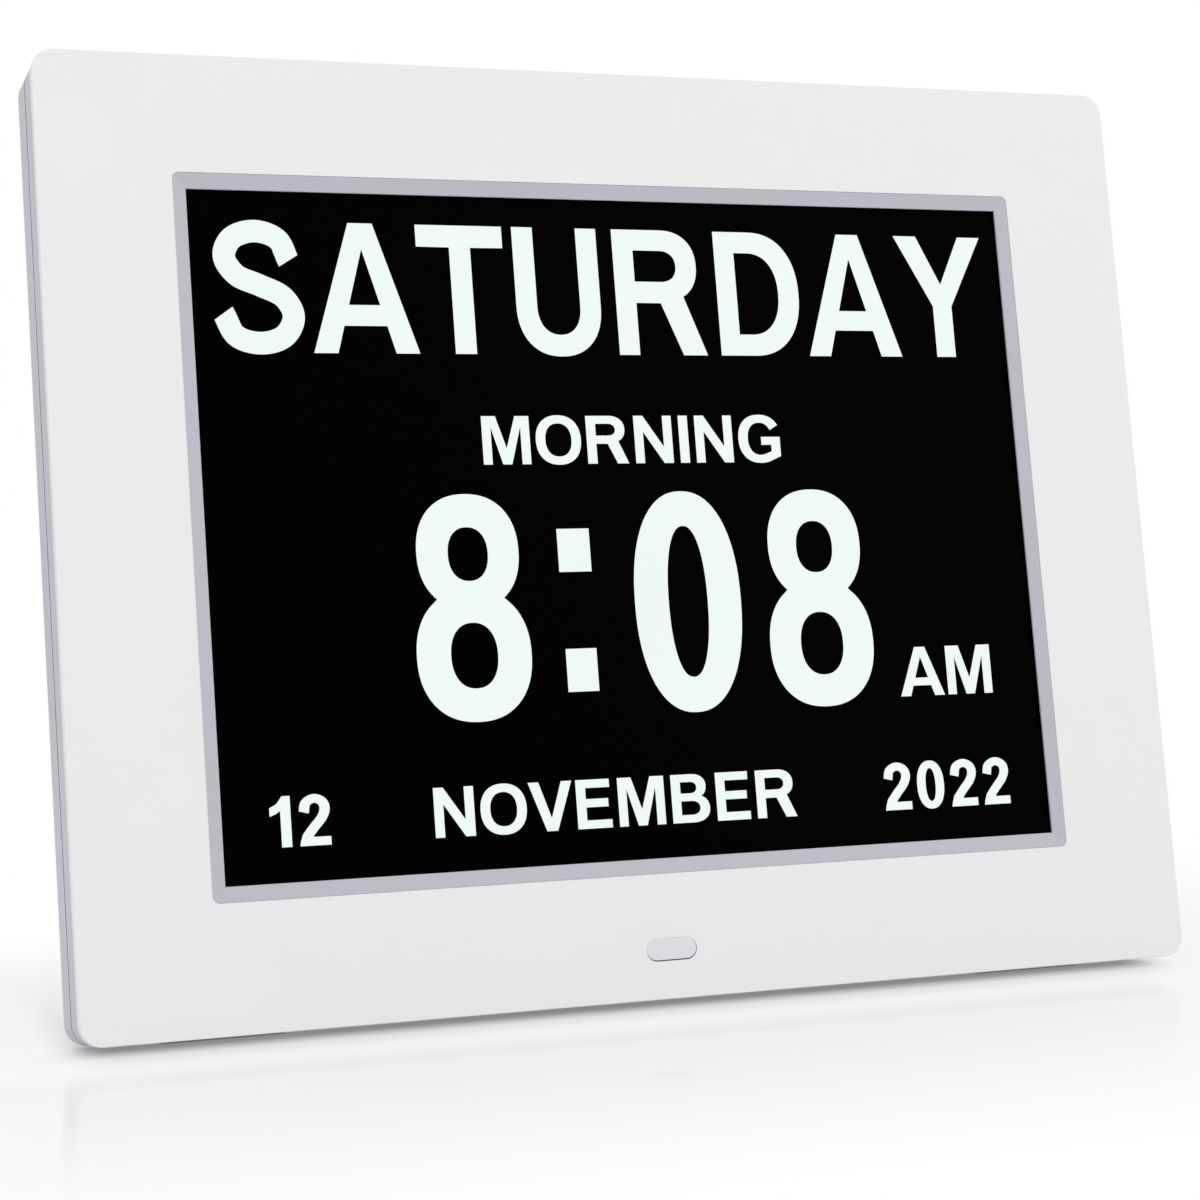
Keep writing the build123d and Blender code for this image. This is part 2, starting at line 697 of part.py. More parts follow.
# Rear cover: rim with a locating lip, raised box, leg well, bosses and openings
with BuildPart() as rear_cover:
    with BuildSketch(layer(rim_front)):
        body_outline(reveal)
    extrude(amount=rim_depth, dir=back)
    fillet(rear_cover.faces().sort_by(depth_axis)[-1].edges(), rim_edge_round)
    add(box_form.part)
    with BuildSketch(layer(rim_front - lip_length)):
        body_outline(lip_outside)
    extrude(amount=lip_length, dir=back)
    with BuildSketch(layer(rim_front - lip_length - overrun)):
        body_outline(lip_inside)
    extrude(amount=rim_depth + lip_length + overrun - cover_wall, dir=back, mode=Mode.SUBTRACT)
    with BuildSketch(layer(rim_back - cover_wall)):
        box_outline(cover_wall)
    with BuildSketch(layer(wall_inside)):
        box_outline(cover_wall + box_draft)
    loft(mode=Mode.SUBTRACT)

    # Bosses for the cover screws, the boards, the speaker and the hinge pins
    with BuildSketch(layer(post_top)):
        with Locations(*cover_screw_places):
            Circle(cover_boss_radius)
    extrude(amount=rim_back - cover_wall - post_top, dir=back)
    with BuildSketch(layer(board_back)):
        with Locations(*board_hole_places):
            Circle(post_radius)
    extrude(amount=wall_inside - board_back, dir=back)
    with BuildSketch(layer(switch_seat)):
        with Locations(*button_boss_places):
            Circle(button_boss_radius)
    extrude(amount=wall_inside - switch_seat, dir=back)
    with BuildSketch(layer(wall_inside - ring_height)):
        with Locations((speaker_x, speaker_height)):
            Circle(speaker_radius + ring_clearance + ring_wall)
            Circle(speaker_radius + ring_clearance, mode=Mode.SUBTRACT)
    extrude(amount=ring_height, dir=back)
    add(leg_tub.part)
    for side in (-1, 1):
        with BuildSketch(section(side * (tub_half - tub_wall))):
            with Locations((hinge_depth, hinge_height)):
                Circle(leg_barrel_radius - hinge_boss_inset)
        extrude(amount=side * (tub_wall + hinge_boss_length))

    # Leg well, open at the box's lower side, and the pin holes in its walls
    with BuildSketch(layer(well_floor)):
        with Locations((0, hinge_height)):
            leg_outline(hinge_side_gap, heel_swing + well_clearance)
    extrude(amount=well_depth + overrun, dir=back, mode=Mode.SUBTRACT)
    with BuildSketch(section(0)):
        with Locations((hinge_depth, hinge_height)):
            Circle(pin_radius + pin_seat_clearance)
    extrude(amount=tub_half + hinge_boss_length + overrun, both=True, mode=Mode.SUBTRACT)

    # Screw holes
    with Locations(from_rear(rim_back)):
        with Locations(*cover_screw_places):
            CounterBoreHole(screw_hole_radius, counterbore_radius, counterbore_depth, rim_back - post_top)
    with BuildSketch(layer(board_back)):
        with Locations(*board_hole_places):
            Circle(pilot_radius)
    extrude(amount=board_screw_length, dir=back, mode=Mode.SUBTRACT)
    with BuildSketch(layer(switch_seat)):
        with Locations(*button_boss_places):
            Circle(pilot_radius)
    extrude(amount=short_screw_length, dir=back, mode=Mode.SUBTRACT)

    # Openings in the back face: buttons, keyholes, vents and the speaker grille
    with BuildSketch(layer(wall_inside - overrun)):
        with Locations((0, button_row)):
            with GridLocations(button_pitch, 0, len(button_names), 1):
                Circle(button_radius + button_gap)
        with Locations((0, box_bottom + keyhole_rise)):
            with GridLocations(keyhole_spacing, 0, 2, 1):
                Circle(keyhole_radius)
        with Locations((0, box_bottom + keyhole_rise + keyhole_slot_length / 2)):
            with GridLocations(keyhole_spacing, 0, 2, 1):
                SlotCenterToCenter(keyhole_slot_length, 2 * keyhole_slot_radius, rotation=90)
        with Locations((0, box_bottom + vent_rise)):
            with GridLocations(vent_pitch, 0, vent_count, 1):
                SlotOverall(vent_length, vent_width, rotation=90)
        with Locations((speaker_x, speaker_height)):
            Circle(grille_hole_radius)
            for ring_radius, ring_count in zip(grille_ring_radii, grille_ring_counts):
                with PolarLocations(ring_radius, ring_count):
                    Circle(grille_hole_radius)
    extrude(amount=cover_wall + 2 * overrun, dir=back, mode=Mode.SUBTRACT)

    # Hole for the supply socket, and shallow pockets for the feet
    with BuildSketch(section(box_inner_half)):
        with Locations((board_back + socket_axis, board_low + socket_rise)):
            Circle(socket_nose_radius + socket_nose_clearance)
    extrude(amount=box_draft + cover_wall + overrun, mode=Mode.SUBTRACT)
    for side in (-1, 1):
        with BuildSketch(section(side * foot_spacing / 2)):
            with Locations(((foot_near + foot_far) / 2, reveal)):
                Rectangle(foot_depth + 2 * foot_clearance, 2 * foot_pocket)
        extrude(amount=foot_length / 2 + foot_clearance, both=True, mode=Mode.SUBTRACT)
keep("rear_cover", rear_cover)

cover_screws = screw_set(cover_screw_places, rim_back - counterbore_depth, cover_screw_length, 1)
keep("cover_screws", cover_screws)

# Main board and what is soldered to its rear face
with BuildPart() as main_board:
    with BuildSketch(layer(board_front)):
        with Locations((board_middle_x, board_middle)):
            Rectangle(board_width, board_height)
        with Locations(*board_hole_places):
            Circle(screw_hole_radius, mode=Mode.SUBTRACT)
    extrude(amount=board_thickness, dir=back)
keep("main_board", main_board)

with BuildPart() as main_chips:
    with BuildSketch(layer(board_back)):
        with Locations(board_place(processor_place_shares)):
            Rectangle(processor_size, processor_size)
        with Locations(board_place(memory_place_shares)):
            Rectangle(memory_size, memory_length)
        with Locations(board_place(driver_place_shares)):
            Rectangle(memory_size, memory_size)
    extrude(amount=chip_thickness, dir=back)
keep("main_chips", main_chips)

with BuildPart() as capacitors:
    capacitor_places = [board_place(shares) for shares in capacitor_place_shares]
    with BuildSketch(layer(board_back)):
        with Locations(*capacitor_places):
            Circle(capacitor_radius)
    extrude(amount=capacitor_length, dir=back)
    with BuildSketch(layer(board_back + capacitor_length - capacitor_vent_width)):
        with Locations(*capacitor_places):
            Rectangle(capacitor_radius, capacitor_vent_width)
            Rectangle(capacitor_vent_width, capacitor_radius)
    extrude(amount=overrun, dir=back, mode=Mode.SUBTRACT)
keep("capacitors", capacitors)

with BuildPart() as cell_holder:
    with BuildSketch(layer(board_back)):
        with Locations(board_place(cell_place_shares)):
            Circle(cell_radius + cell_clearance + holder_wall)
    extrude(amount=holder_floor + cell_thickness, dir=back)
    with BuildSketch(layer(board_back + holder_floor)):
        with Locations(board_place(cell_place_shares)):
            Circle(cell_radius + cell_clearance)
            Rectangle(2 * (cell_radius + cell_clearance + holder_wall + overrun), holder_notch)
    extrude(amount=cell_thickness + overrun, dir=back, mode=Mode.SUBTRACT)
keep("cell_holder", cell_holder)

with BuildPart() as coin_cell:
    with BuildSketch(layer(board_back + holder_floor)):
        with Locations(board_place(cell_place_shares)):
            Circle(cell_radius)
    extrude(amount=cell_thickness, dir=back)
    fillet(coin_cell.faces().sort_by(depth_axis)[-1].edges(), cell_edge_round)
keep("coin_cell", coin_cell)

board_screws = screw_set(board_hole_places, board_front, board_screw_length, -1)
keep("board_screws", board_screws)

# Supply socket: a block on the board with a round nose in the box's side wall
with BuildPart() as supply_socket:
    socket_mouth = box_inner_half - socket_gap
    with BuildSketch(layer(board_back)):
        with Locations((socket_mouth - socket_length / 2, board_low + socket_rise)):
            Rectangle(socket_length, socket_width)
    extrude(amount=socket_height, dir=back)
    with BuildSketch(section(socket_mouth)):
        with Locations((board_back + socket_axis, board_low + socket_rise)):
            Circle(socket_nose_radius)
    extrude(amount=socket_nose_length)
    with BuildSketch(section(socket_mouth + socket_nose_length)):
        with Locations((board_back + socket_axis, board_low + socket_rise)):
            Circle(socket_bore_radius)
            Circle(socket_pin_radius, mode=Mode.SUBTRACT)
    extrude(amount=-socket_bore_depth, mode=Mode.SUBTRACT)
    with BuildSketch(section(socket_mouth + socket_nose_length)):
        with Locations((board_back + socket_axis, board_low + socket_rise)):
            Circle(socket_bore_radius)
    extrude(amount=-socket_pin_gap, mode=Mode.SUBTRACT)
keep("supply_socket", supply_socket)

# Button board with its switches, held on two bosses
with BuildPart() as button_board:
    with BuildSketch(layer(button_board_front)):
        with Locations((0, button_row)):
            Rectangle(button_board_width, button_board_height)
        with Locations(*button_boss_places):
            Circle(screw_hole_radius, mode=Mode.SUBTRACT)
    extrude(amount=button_board_thickness, dir=back)
keep("button_board", button_board)

with BuildPart() as tact_switches:
    with BuildSketch(layer(switch_seat)):
        with Locations((0, button_row)):
            with GridLocations(button_pitch, 0, len(button_names), 1):
                Rectangle(switch_size, switch_size)
    extrude(amount=switch_body_height, dir=back)
    with BuildSketch(layer(switch_seat + switch_body_height)):
        with Locations((0, button_row)):
            with GridLocations(button_pitch, 0, len(button_names), 1):
                Circle(switch_plunger_radius)
    extrude(amount=switch_plunger_height, dir=back)
keep("tact_switches", tact_switches)

button_screws = screw_set(button_boss_places, button_board_front, short_screw_length, -1)
keep("button_screws", button_screws)

# Push buttons, numbered from the right as seen from the front, which is the left as seen from behind
for name, x in zip(button_names, reversed(button_x)):
    with BuildPart() as button:
        with BuildSketch(layer(button_back)):
            with Locations((x, button_row)):
                Circle(button_radius)
        extrude(amount=body_depth + button_proud - button_back, dir=back)
        fillet(button.faces().sort_by(depth_axis)[-1].edges(), button_dome)
        with BuildSketch(layer(button_back)):
            with Locations((x, button_row)):
                Circle(button_radius + button_flange)
        extrude(amount=button_flange_thickness, dir=-back)
        with BuildSketch(layer(button_front)):
            with Locations((x, button_row)):
                Circle(button_stem_radius)
        extrude(amount=button_stem_length, dir=back)
    keep(f"button_{name}", button)

# Loudspeaker behind the grille: basket with its magnet, and the cone inside
speaker_front = wall_inside - speaker_gap
speaker_turn_axis = Axis(corner + Vector(speaker_x, 0, 0) + up * speaker_height, back)
basket_depth = speaker_depth - speaker_magnet_depth
with BuildPart() as speaker_frame:
    with BuildSketch(Plane(speaker_turn_axis.position, x_dir=(1, 0, 0), z_dir=up)):
        rim_inner = speaker_radius - speaker_rim_width
        rim_lower = speaker_front - speaker_rim_thickness
        throat = speaker_front - basket_depth
        Polygon(
            (0, throat - speaker_magnet_depth),
            (speaker_magnet_radius, throat - speaker_magnet_depth),
            (speaker_magnet_radius, throat),
            (speaker_throat_radius + speaker_wall, throat),
            (rim_inner, rim_lower),
            (speaker_radius, rim_lower),
            (speaker_radius, speaker_front),
            (rim_inner, speaker_front),
            (speaker_throat_radius, throat + speaker_wall),
            (0, throat + speaker_wall),
            align=None,
        )
    revolve(axis=speaker_turn_axis)
keep("speaker_frame", speaker_frame)

with BuildPart() as speaker_cone:
    with BuildSketch(Plane(speaker_turn_axis.position, x_dir=(1, 0, 0), z_dir=up)):
        cone_low = throat + speaker_wall
        cone_outer = rim_inner - cone_rim_gap
        cone_high = speaker_front - cone_drop - cone_thickness
        Polygon(
            (0, cone_low),
            (cone_cap_radius, cone_low),
            (cone_outer, cone_high),
            (cone_outer - cone_thickness, cone_high + cone_thickness),
            (cone_cap_radius, cone_low + cone_thickness),
            (0, cone_low + 2 * cone_thickness),
            align=None,
        )
    revolve(axis=speaker_turn_axis)
keep("speaker_cone", speaker_cone)

# Flat cables, each from its module to a connector on the main board
cable_depth = board_back + cable_rise
board_top = board_low + board_height
display_cable_x = board_middle_x + display_cable_place_share * board_width
button_cable_x = board_middle_x + button_cable_place_share * board_width
display_cable_depth = lcd_back + cable_lift
display_cable_low = board_top + display_cable_margin
display_cable = flat_cable(
    section(display_cable_x),
    [
        (display_cable_depth, display_cable_low + display_cable_run),
        (display_cable_depth, display_cable_low),
        (cable_depth, display_cable_low),
        (cable_depth, board_top - connector_inset),
    ],
    display_cable_width,
)
keep("display_cable", display_cable)

button_cable_depth = button_board_front - cable_lift
button_cable_low = button_row - button_board_height / 2 - button_cable_drop
button_cable = flat_cable(
    section(button_cable_x),
    [
        (button_cable_depth, button_row),
        (button_cable_depth, button_cable_low),
        (cable_depth, button_cable_low - button_cable_slope),
        (cable_depth, board_top - connector_inset),
    ],
    button_cable_width,
)
keep("button_cable", button_cable)

speaker_cable_depth = wall_inside - ring_height - cable_lift - cable_thickness
speaker_cable_x = speaker_x + speaker_magnet_radius + speaker_cable_stand
speaker_plug_x = speaker_cable_x + speaker_cable_reach
speaker_cable = flat_cable(
    shelf(speaker_height),
    [
        (speaker_x + speaker_magnet_radius, speaker_cable_depth),
        (speaker_cable_x, speaker_cable_depth),
        (speaker_cable_x, cable_depth),
        (speaker_plug_x, cable_depth),
    ],
    speaker_cable_width,
)
keep("speaker_cable", speaker_cable)

sensor_cable_depth = sensor_board_depth + sensor_board_thickness + cable_lift
sensor_cable_high = board_low - sensor_cable_step
sensor_cable = flat_cable(
    section(0),
    [
        (sensor_cable_depth, sensor_height - sensor_cable_start),
        (sensor_cable_depth, sensor_cable_high - sensor_cable_slope),
        (cable_depth, sensor_cable_high),
        (cable_depth, board_low + connector_inset),
    ],
    sensor_cable_width,
)
keep("sensor_cable", sensor_cable)

with BuildPart() as board_connectors:
    with BuildSketch(layer(board_back)):
        with Locations((display_cable_x, board_top - connector_inset - connector_length / 2)):
            Rectangle(display_cable_width + 2 * connector_margin, connector_length)
        with Locations((button_cable_x, board_top - connector_inset - connector_length / 2)):
            Rectangle(button_cable_width + 2 * connector_margin, connector_length)
        with Locations((speaker_plug_x + connector_length / 2, speaker_height)):
            Rectangle(connector_length, speaker_cable_width + 2 * connector_margin)
        with Locations((0, board_low + connector_inset + connector_length / 2)):
            Rectangle(sensor_cable_width + 2 * connector_margin, connector_length)
    extrude(amount=connector_height, dir=back)
keep("board_connectors", board_connectors)

# Stand leg, standing open: ribbed inside, a barrel at the hinge and a tenon for its rubber foot
with BuildPart() as stand_leg:
    with BuildSketch(leg_plane):
        leg_outline(0, leg_heel)
    extrude(amount=leg_thickness / 2, both=True)
    with BuildSketch(leg_section(0)):
        Circle(leg_barrel_radius)
    extrude(amount=leg_width / 2, both=True)
    with BuildSketch(leg_plane.offset(leg_thickness / 2)):
        leg_pocket(leg_barrel_radius + leg_rib, leg_length - leg_pocket_end)
        with Locations((0, -leg_length / 2)):
            with GridLocations(leg_tip_width / leg_columns, 0, leg_columns - 1, 1):
                Rectangle(leg_rib, leg_length, mode=Mode.SUBTRACT)
        with Locations(*[(0, -share * leg_length) for share in leg_rib_shares]):
            Rectangle(leg_width, leg_rib, mode=Mode.SUBTRACT)
    extrude(amount=leg_skin - leg_thickness, mode=Mode.SUBTRACT)
    with BuildSketch(leg_plane):
        with Locations((0, -leg_length)):
            Rectangle(tenon_width, 2 * tenon_length)
    extrude(amount=tenon_thickness / 2, both=True)
    for side in (-1, 1):
        with BuildSketch(leg_section(side * leg_width / 2)):
            Circle(pin_radius + pin_running_clearance)
        extrude(amount=-side * (pin_grip + pin_end_gap), mode=Mode.SUBTRACT)
keep("stand_leg", stand_leg)

# Rubber foot on the leg's tenon, cut level with the floor
with BuildPart() as leg_foot:
    with BuildSketch(leg_plane):
        with Locations((0, -leg_length - leg_foot_height)):
            Rectangle(leg_tip_width + 2 * leg_foot_lip, 2 * leg_foot_height)
    extrude(amount=leg_foot_half, both=True)
    fillet(leg_foot.edges().filter_by(Axis(hinge_point, leg_plane.y_dir)), leg_foot_round)
    split(bisect_by=Plane.XY, keep=Keep.TOP)
    with BuildSketch(leg_plane):
        with Locations((0, -leg_length)):
            Rectangle(tenon_width + 2 * tenon_clearance, 2 * (tenon_length + tenon_clearance))
    extrude(amount=tenon_thickness / 2 + tenon_clearance, both=True, mode=Mode.SUBTRACT)
keep("leg_foot", leg_foot)

# Two hinge pins, pressed in from inside the case, and a friction washer on each
with BuildPart() as hinge_pins:
    pin_inner = leg_width / 2 - pin_grip
    pin_outer = tub_half + hinge_boss_length
    for side in (-1, 1):
        with BuildSketch(section(side * pin_inner)):
            with Locations((hinge_depth, hinge_height)):
                Circle(pin_radius)
        extrude(amount=side * (pin_outer - pin_inner))
keep("hinge_pins", hinge_pins)

with BuildPart() as friction_washers:
    for side in (-1, 1):
        with BuildSketch(section(side * (leg_width / 2 + washer_gap))):
            with Locations((hinge_depth, hinge_height)):
                Circle(washer_radius)
                Circle(pin_radius + pin_seat_clearance, mode=Mode.SUBTRACT)
        extrude(amount=side * washer_thickness)
keep("friction_washers", friction_washers)

# Rubber feet in the rim's underside, level with the floor
with BuildPart() as rubber_feet:
    foot_root = reveal + foot_pocket
    for side in (-1, 1):
        with BuildSketch(section(side * foot_spacing / 2)):
            Polygon(
                (foot_near, foot_root),
                (foot_far, foot_root),
                (foot_far, foot_far * math.tan(lean) - plate_rise / math.cos(lean)),
                (foot_near, foot_near * math.tan(lean) - plate_rise / math.cos(lean)),
                align=None,
            )
        extrude(amount=foot_length / 2, both=True)
keep("rubber_feet", rubber_feet)

print("plate", plate_width, plate_height, "overall depth", overall_depth, "leg heel", leg_heel)
print("hinge", tuple(hinge_point), "plate corner", tuple(corner))
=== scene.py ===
import math

import bmesh
import bpy
import numpy as np
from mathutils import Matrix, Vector
from mathutils.geometry import tessellate_polygon


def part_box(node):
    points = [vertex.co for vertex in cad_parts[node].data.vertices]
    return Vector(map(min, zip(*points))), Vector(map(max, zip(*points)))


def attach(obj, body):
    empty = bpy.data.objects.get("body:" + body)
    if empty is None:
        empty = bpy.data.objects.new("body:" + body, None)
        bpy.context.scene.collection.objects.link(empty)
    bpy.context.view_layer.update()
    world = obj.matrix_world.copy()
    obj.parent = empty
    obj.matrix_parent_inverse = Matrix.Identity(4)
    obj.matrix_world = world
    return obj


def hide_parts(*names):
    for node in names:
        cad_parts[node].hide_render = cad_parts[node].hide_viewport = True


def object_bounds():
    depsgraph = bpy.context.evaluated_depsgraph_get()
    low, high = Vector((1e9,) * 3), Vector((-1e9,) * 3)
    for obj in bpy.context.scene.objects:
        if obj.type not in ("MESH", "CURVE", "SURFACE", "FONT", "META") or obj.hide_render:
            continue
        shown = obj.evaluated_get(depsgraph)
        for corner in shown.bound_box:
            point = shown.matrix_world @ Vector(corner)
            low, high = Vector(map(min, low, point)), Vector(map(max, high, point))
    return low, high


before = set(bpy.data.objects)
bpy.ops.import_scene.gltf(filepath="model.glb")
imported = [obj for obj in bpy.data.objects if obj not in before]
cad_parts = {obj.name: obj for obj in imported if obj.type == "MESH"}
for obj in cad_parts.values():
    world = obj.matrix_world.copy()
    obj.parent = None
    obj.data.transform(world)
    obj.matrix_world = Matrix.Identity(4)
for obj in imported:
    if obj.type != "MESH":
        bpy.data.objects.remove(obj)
CAD_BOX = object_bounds()

bl_info = {
    "name": "Calendar clock",
    "version": (1, 0, 0),
    "blender": (4, 5, 0),
    "location": "3D View > Sidebar > Clock",
    "description": "Builds the face, the lit display and the finishes of a leaning calendar clock",
    "category": "Object",
}

# The panel leans back. Places on it are across to the right, up its slope from the bottom edge of
# the plate, and back from the plate's face.
MM = 0.001
LEAN = math.radians(12.0)
ACROSS = np.array((1.0, 0.0, 0.0))
UP = np.array((0.0, math.sin(LEAN), math.cos(LEAN)))
BACK = np.array((0.0, math.cos(LEAN), -math.sin(LEAN)))
PLATE_LOW, PLATE_HIGH = (np.array(end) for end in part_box("front_panel"))
PLATE_WIDTH = PLATE_HIGH[0] - PLATE_LOW[0]
PLATE_HEIGHT = 173.3 * MM
PLATE_THICKNESS = 2.0 * MM
CORNER = np.array((0.0, PLATE_HIGH[1] - PLATE_HEIGHT * UP[1], PLATE_LOW[2]))
CORNER -= PLATE_THICKNESS * BACK

# Depths and places that the solids behind the face give
SCREEN_WIDTH = 162.4 * MM
SCREEN_HEIGHT = 123.5 * MM
SCREEN_MIDDLE = 87.15 * MM
POCKET_DEPTH = 1.2 * MM
POCKET_WIDE, POCKET_TALL = 11.0 * MM, 9.25 * MM
WINDOW_CLEARANCE = 0.03 * MM
GLASS_DEPTH = 1.6 * MM
WEB_DEPTH = 3.6 * MM
PILL_HEIGHT = 8.9 * MM
PILL_CLEARANCE = 0.1 * MM
# Depths behind the face of the case's seam groove, which gets painted shade
SEAM = (8.55 * MM, 9.15 * MM)
BODY_DEPTH = 28.3 * MM
BUTTON_ROW = 138.0 * MM
BUTTON_PITCH = 16.0 * MM
BUTTON_NAMES = ("power", "menu", "exit", "up", "down", "left", "right")

CORNER_STEPS = 16
ROUND_STEPS = 7
SLOPE_ROWS = 6
CROWN_ROWS = 7
SHARP_ANGLE = math.radians(32.0)
MERGE_DISTANCE = 0.0005 * MM


def srgb(red, green, blue):
    """Scene-linear colour of a screen colour given in parts of 255."""
    screen = np.array((red, green, blue)) / 255.0
    linear = np.where(screen <= 0.04045, screen / 12.92, ((screen + 0.055) / 1.055) ** 2.4)
    return tuple(float(part) for part in linear)


# Settings


def a_colour(name, description, *screen):
    """A colour to choose; its default is a screen colour."""
    return bpy.props.FloatVectorProperty(
        name=name, description=description, subtype="COLOR", min=0.0, max=1.0, default=srgb(*screen)
    )


def a_length(name, description, millimetres):
    """A length to choose; its default is given in millimetres."""
    return bpy.props.FloatProperty(
        name=name, description=description, unit="LENGTH", min=0.0, default=millimetres * MM
    )


def a_power(name, description, watts):
    """The power of a lamp."""
    return bpy.props.FloatProperty(
        name=name, description=description, unit="POWER", min=0.0, default=watts
    )


def an_angle(name, description, degrees):
    """An angle to choose; its default is given in degrees."""
    return bpy.props.FloatProperty(
        name=name, description=description, subtype="ANGLE", default=math.radians(degrees)
    )


def a_word(name, description, default):
    """A word on the display."""
    return bpy.props.StringProperty(name=name, description=description, default=default)


class ClockFaceSettings(bpy.types.PropertyGroup):
    """Front plate, trim ring and pill window"""

    plate_colour: a_colour("Plate colour", "White of the front plate", 237, 237, 238)
    plate_corner: a_length("Plate corner", "Radius of the plate's four corners", 4.0)
    plate_edge: a_length("Plate edge", "Rounding between the plate's face and its sides", 0.25)
    window_edge: a_length(
        "Window edge", "Rounding where the face turns into the window and the pill hole", 0.04
    )
    trim_colour: a_colour("Trim colour", "Lilac grey of the ring round the screen", 189, 187, 197)
    trim_side: a_length("Trim side", "Width of the ring left and right of the screen", 2.45)
    trim_level: a_length("Trim level", "Width of the ring above and below the screen", 2.75)
    trim_corner: a_length("Trim corner", "Radius of the ring's outer corners", 1.3)
    pill_colour: a_colour("Pill colour", "Milky white of the sensor's window", 226, 225, 231)
    pill_length: a_length("Pill length", "Overall length of the sensor's window", 9.65)
    pill_width: a_length("Pill width", "Width of the sensor's window", 3.85)


class ClockDisplaySettings(bpy.types.PropertyGroup):
    """Words and colours of the lit display"""

    weekday: a_word("Weekday", "Top row, fitted to the screen's width", "SATURDAY")
    part_of_day: a_word("Part of day", "Second row", "MORNING")
    hours: a_word("Hours", "Hours of the time", "8")
    minutes: a_word("Minutes", "Two digits after the colon", "08")
    half: a_word("Half", "Half of the day", "AM")
    day: a_word("Day", "Day of the month", "12")
    month: a_word("Month", "Month in the bottom row", "NOVEMBER")
    year: a_word("Year", "Year in the bottom row", "2022")
    lit_colour: a_colour("Lit colour", "Cool white of the lit characters", 239, 250, 249)
    screen_colour: a_colour("Screen colour", "Black of the dark display", 1, 1, 1)
    film: a_length("Film", "Thickness of the lit characters in front of the glass", 0.05)


class ClockCaseSettings(bpy.types.PropertyGroup):
    """Case, buttons, leg and feet"""

    case_colour: a_colour(
        "Case colour", "Lilac grey of both case halves and the leg", 199, 197, 209
    )
    button_colour: a_colour("Button colour", "Darker grey of the push buttons", 150, 148, 160)
    foot_colour: a_colour(
        "Foot colour", "Milky grey of the two soft feet under the case", 226, 225, 229
    )
    rubber_colour: a_colour("Rubber colour", "Pale grey of the leg's rubber foot", 172, 171, 176)
    symbol_size: a_length("Symbol size", "Height of the raised symbols below the buttons", 3.0)
    symbol_proud: a_length("Symbol proud", "How far the symbols stand out from the back", 0.12)
    grain_size: a_length("Grain size", "Size of the moulded grain on the case", 0.45)


class ClockStageSettings(bpy.types.PropertyGroup):
    """Floor, light and camera"""

    floor_colour: a_colour("Floor colour", "Pale tone of the floor", 248, 248, 248)
    floor_size: a_length("Floor size", "Side of the floor", 6000.0)
    sky: bpy.props.FloatProperty(
        name="Sky", description="Light from all round", min=0.0, default=0.55
    )
    key_power: a_power("Key power", "Large soft lamp, front left", 8.0)
    fill_power: a_power("Fill power", "Soft lamp, front right", 3.5)
    top_power: a_power("Top power", "Soft lamp overhead", 4.0)
    lens: bpy.props.FloatProperty(
        name="Lens", description="Focal length on a 36 mm sensor, in millimetres",
        min=1.0, default=80.28,
    )
    turn: an_angle("Turn", "The camera looks this far to the right of straight ahead", 20.84)
    dip: an_angle("Dip", "The camera looks this far down", 4.33)
    camera_place: bpy.props.FloatVectorProperty(
        name="Camera place", description="Where the camera stands",
        subtype="TRANSLATION", unit="LENGTH",
        default=tuple(CORNER + np.array((-182.76, -441.58, 108.54)) * MM),
    )


# Surfaces


def on_panel(across, height, depth):
    """Points of the panel: corner + across · right + height · up its slope + depth · back."""
    across, height, depth = np.broadcast_arrays(across, height, depth)
    return CORNER + across[..., None] * ACROSS + height[..., None] * UP + depth[..., None] * BACK


def rounded_rectangles(widths, heights, radii, middle):
    """Stack of closed outlines, one for each width, height and radius: four quarter circles of the
    radius about the corners' centres, which lie the radius in from the sides; straight runs join
    them."""
    turn = np.linspace(0.0, math.pi / 2, CORNER_STEPS + 1)
    quarters = np.arange(4)[:, None] * math.pi / 2 + turn
    arcs = np.stack((np.cos(quarters), np.sin(quarters)), -1)
    sides = np.array(((1, 1), (-1, 1), (-1, -1), (1, -1)))[:, None]
    halves = np.stack((widths, heights), -1)[:, None, None] / 2
    radii = radii[:, None, None, None]
    outlines = sides * (halves - radii) + arcs * radii + np.array((0.0, middle))
    return outlines.reshape(len(halves), -1, 2)


def slot_outlines(lengths, widths, middle):
    """Stack of closed outlines of slots: two half circles of half the width, one at each end."""
    turn = np.linspace(-math.pi / 2, math.pi / 2, 2 * CORNER_STEPS + 1)
    ends = np.array((0.0, math.pi))[:, None] + turn
    arcs = np.stack((np.cos(ends), np.sin(ends)), -1)
    sides = np.array(((1, 0), (-1, 0)))[:, None]
    half_runs, radii = (half[:, None, None, None] / 2 for half in (lengths - widths, widths))
    outlines = sides * half_runs + arcs * radii + np.array((0.0, middle))
    return outlines.reshape(len(widths), -1, 2)


def quarter_round(radius):
    """Insets and depths of a rounded edge, from the face to the side: the inset is
    radius · (1 - sin a) and the depth radius · (1 - cos a) as a goes from 0 to 90 degrees."""
    turn = np.linspace(0.0, math.pi / 2, ROUND_STEPS + 1)
    return radius * (1 - np.sin(turn)), radius * (1 - np.cos(turn))


def strip_faces(rows, columns, joined=False):
    """Four-sided faces of a grid of points that closes on itself along each row, and from the last
    row to the first where joined."""
    index = np.arange(rows * columns).reshape(rows, columns)
    last = rows if joined else rows - 1
    near, far = index[:last], np.roll(index, -1, 0)[:last]
    corners = (near, np.roll(near, -1, 1), np.roll(far, -1, 1), far)
    return np.stack(corners, -1).reshape(-1, 4)


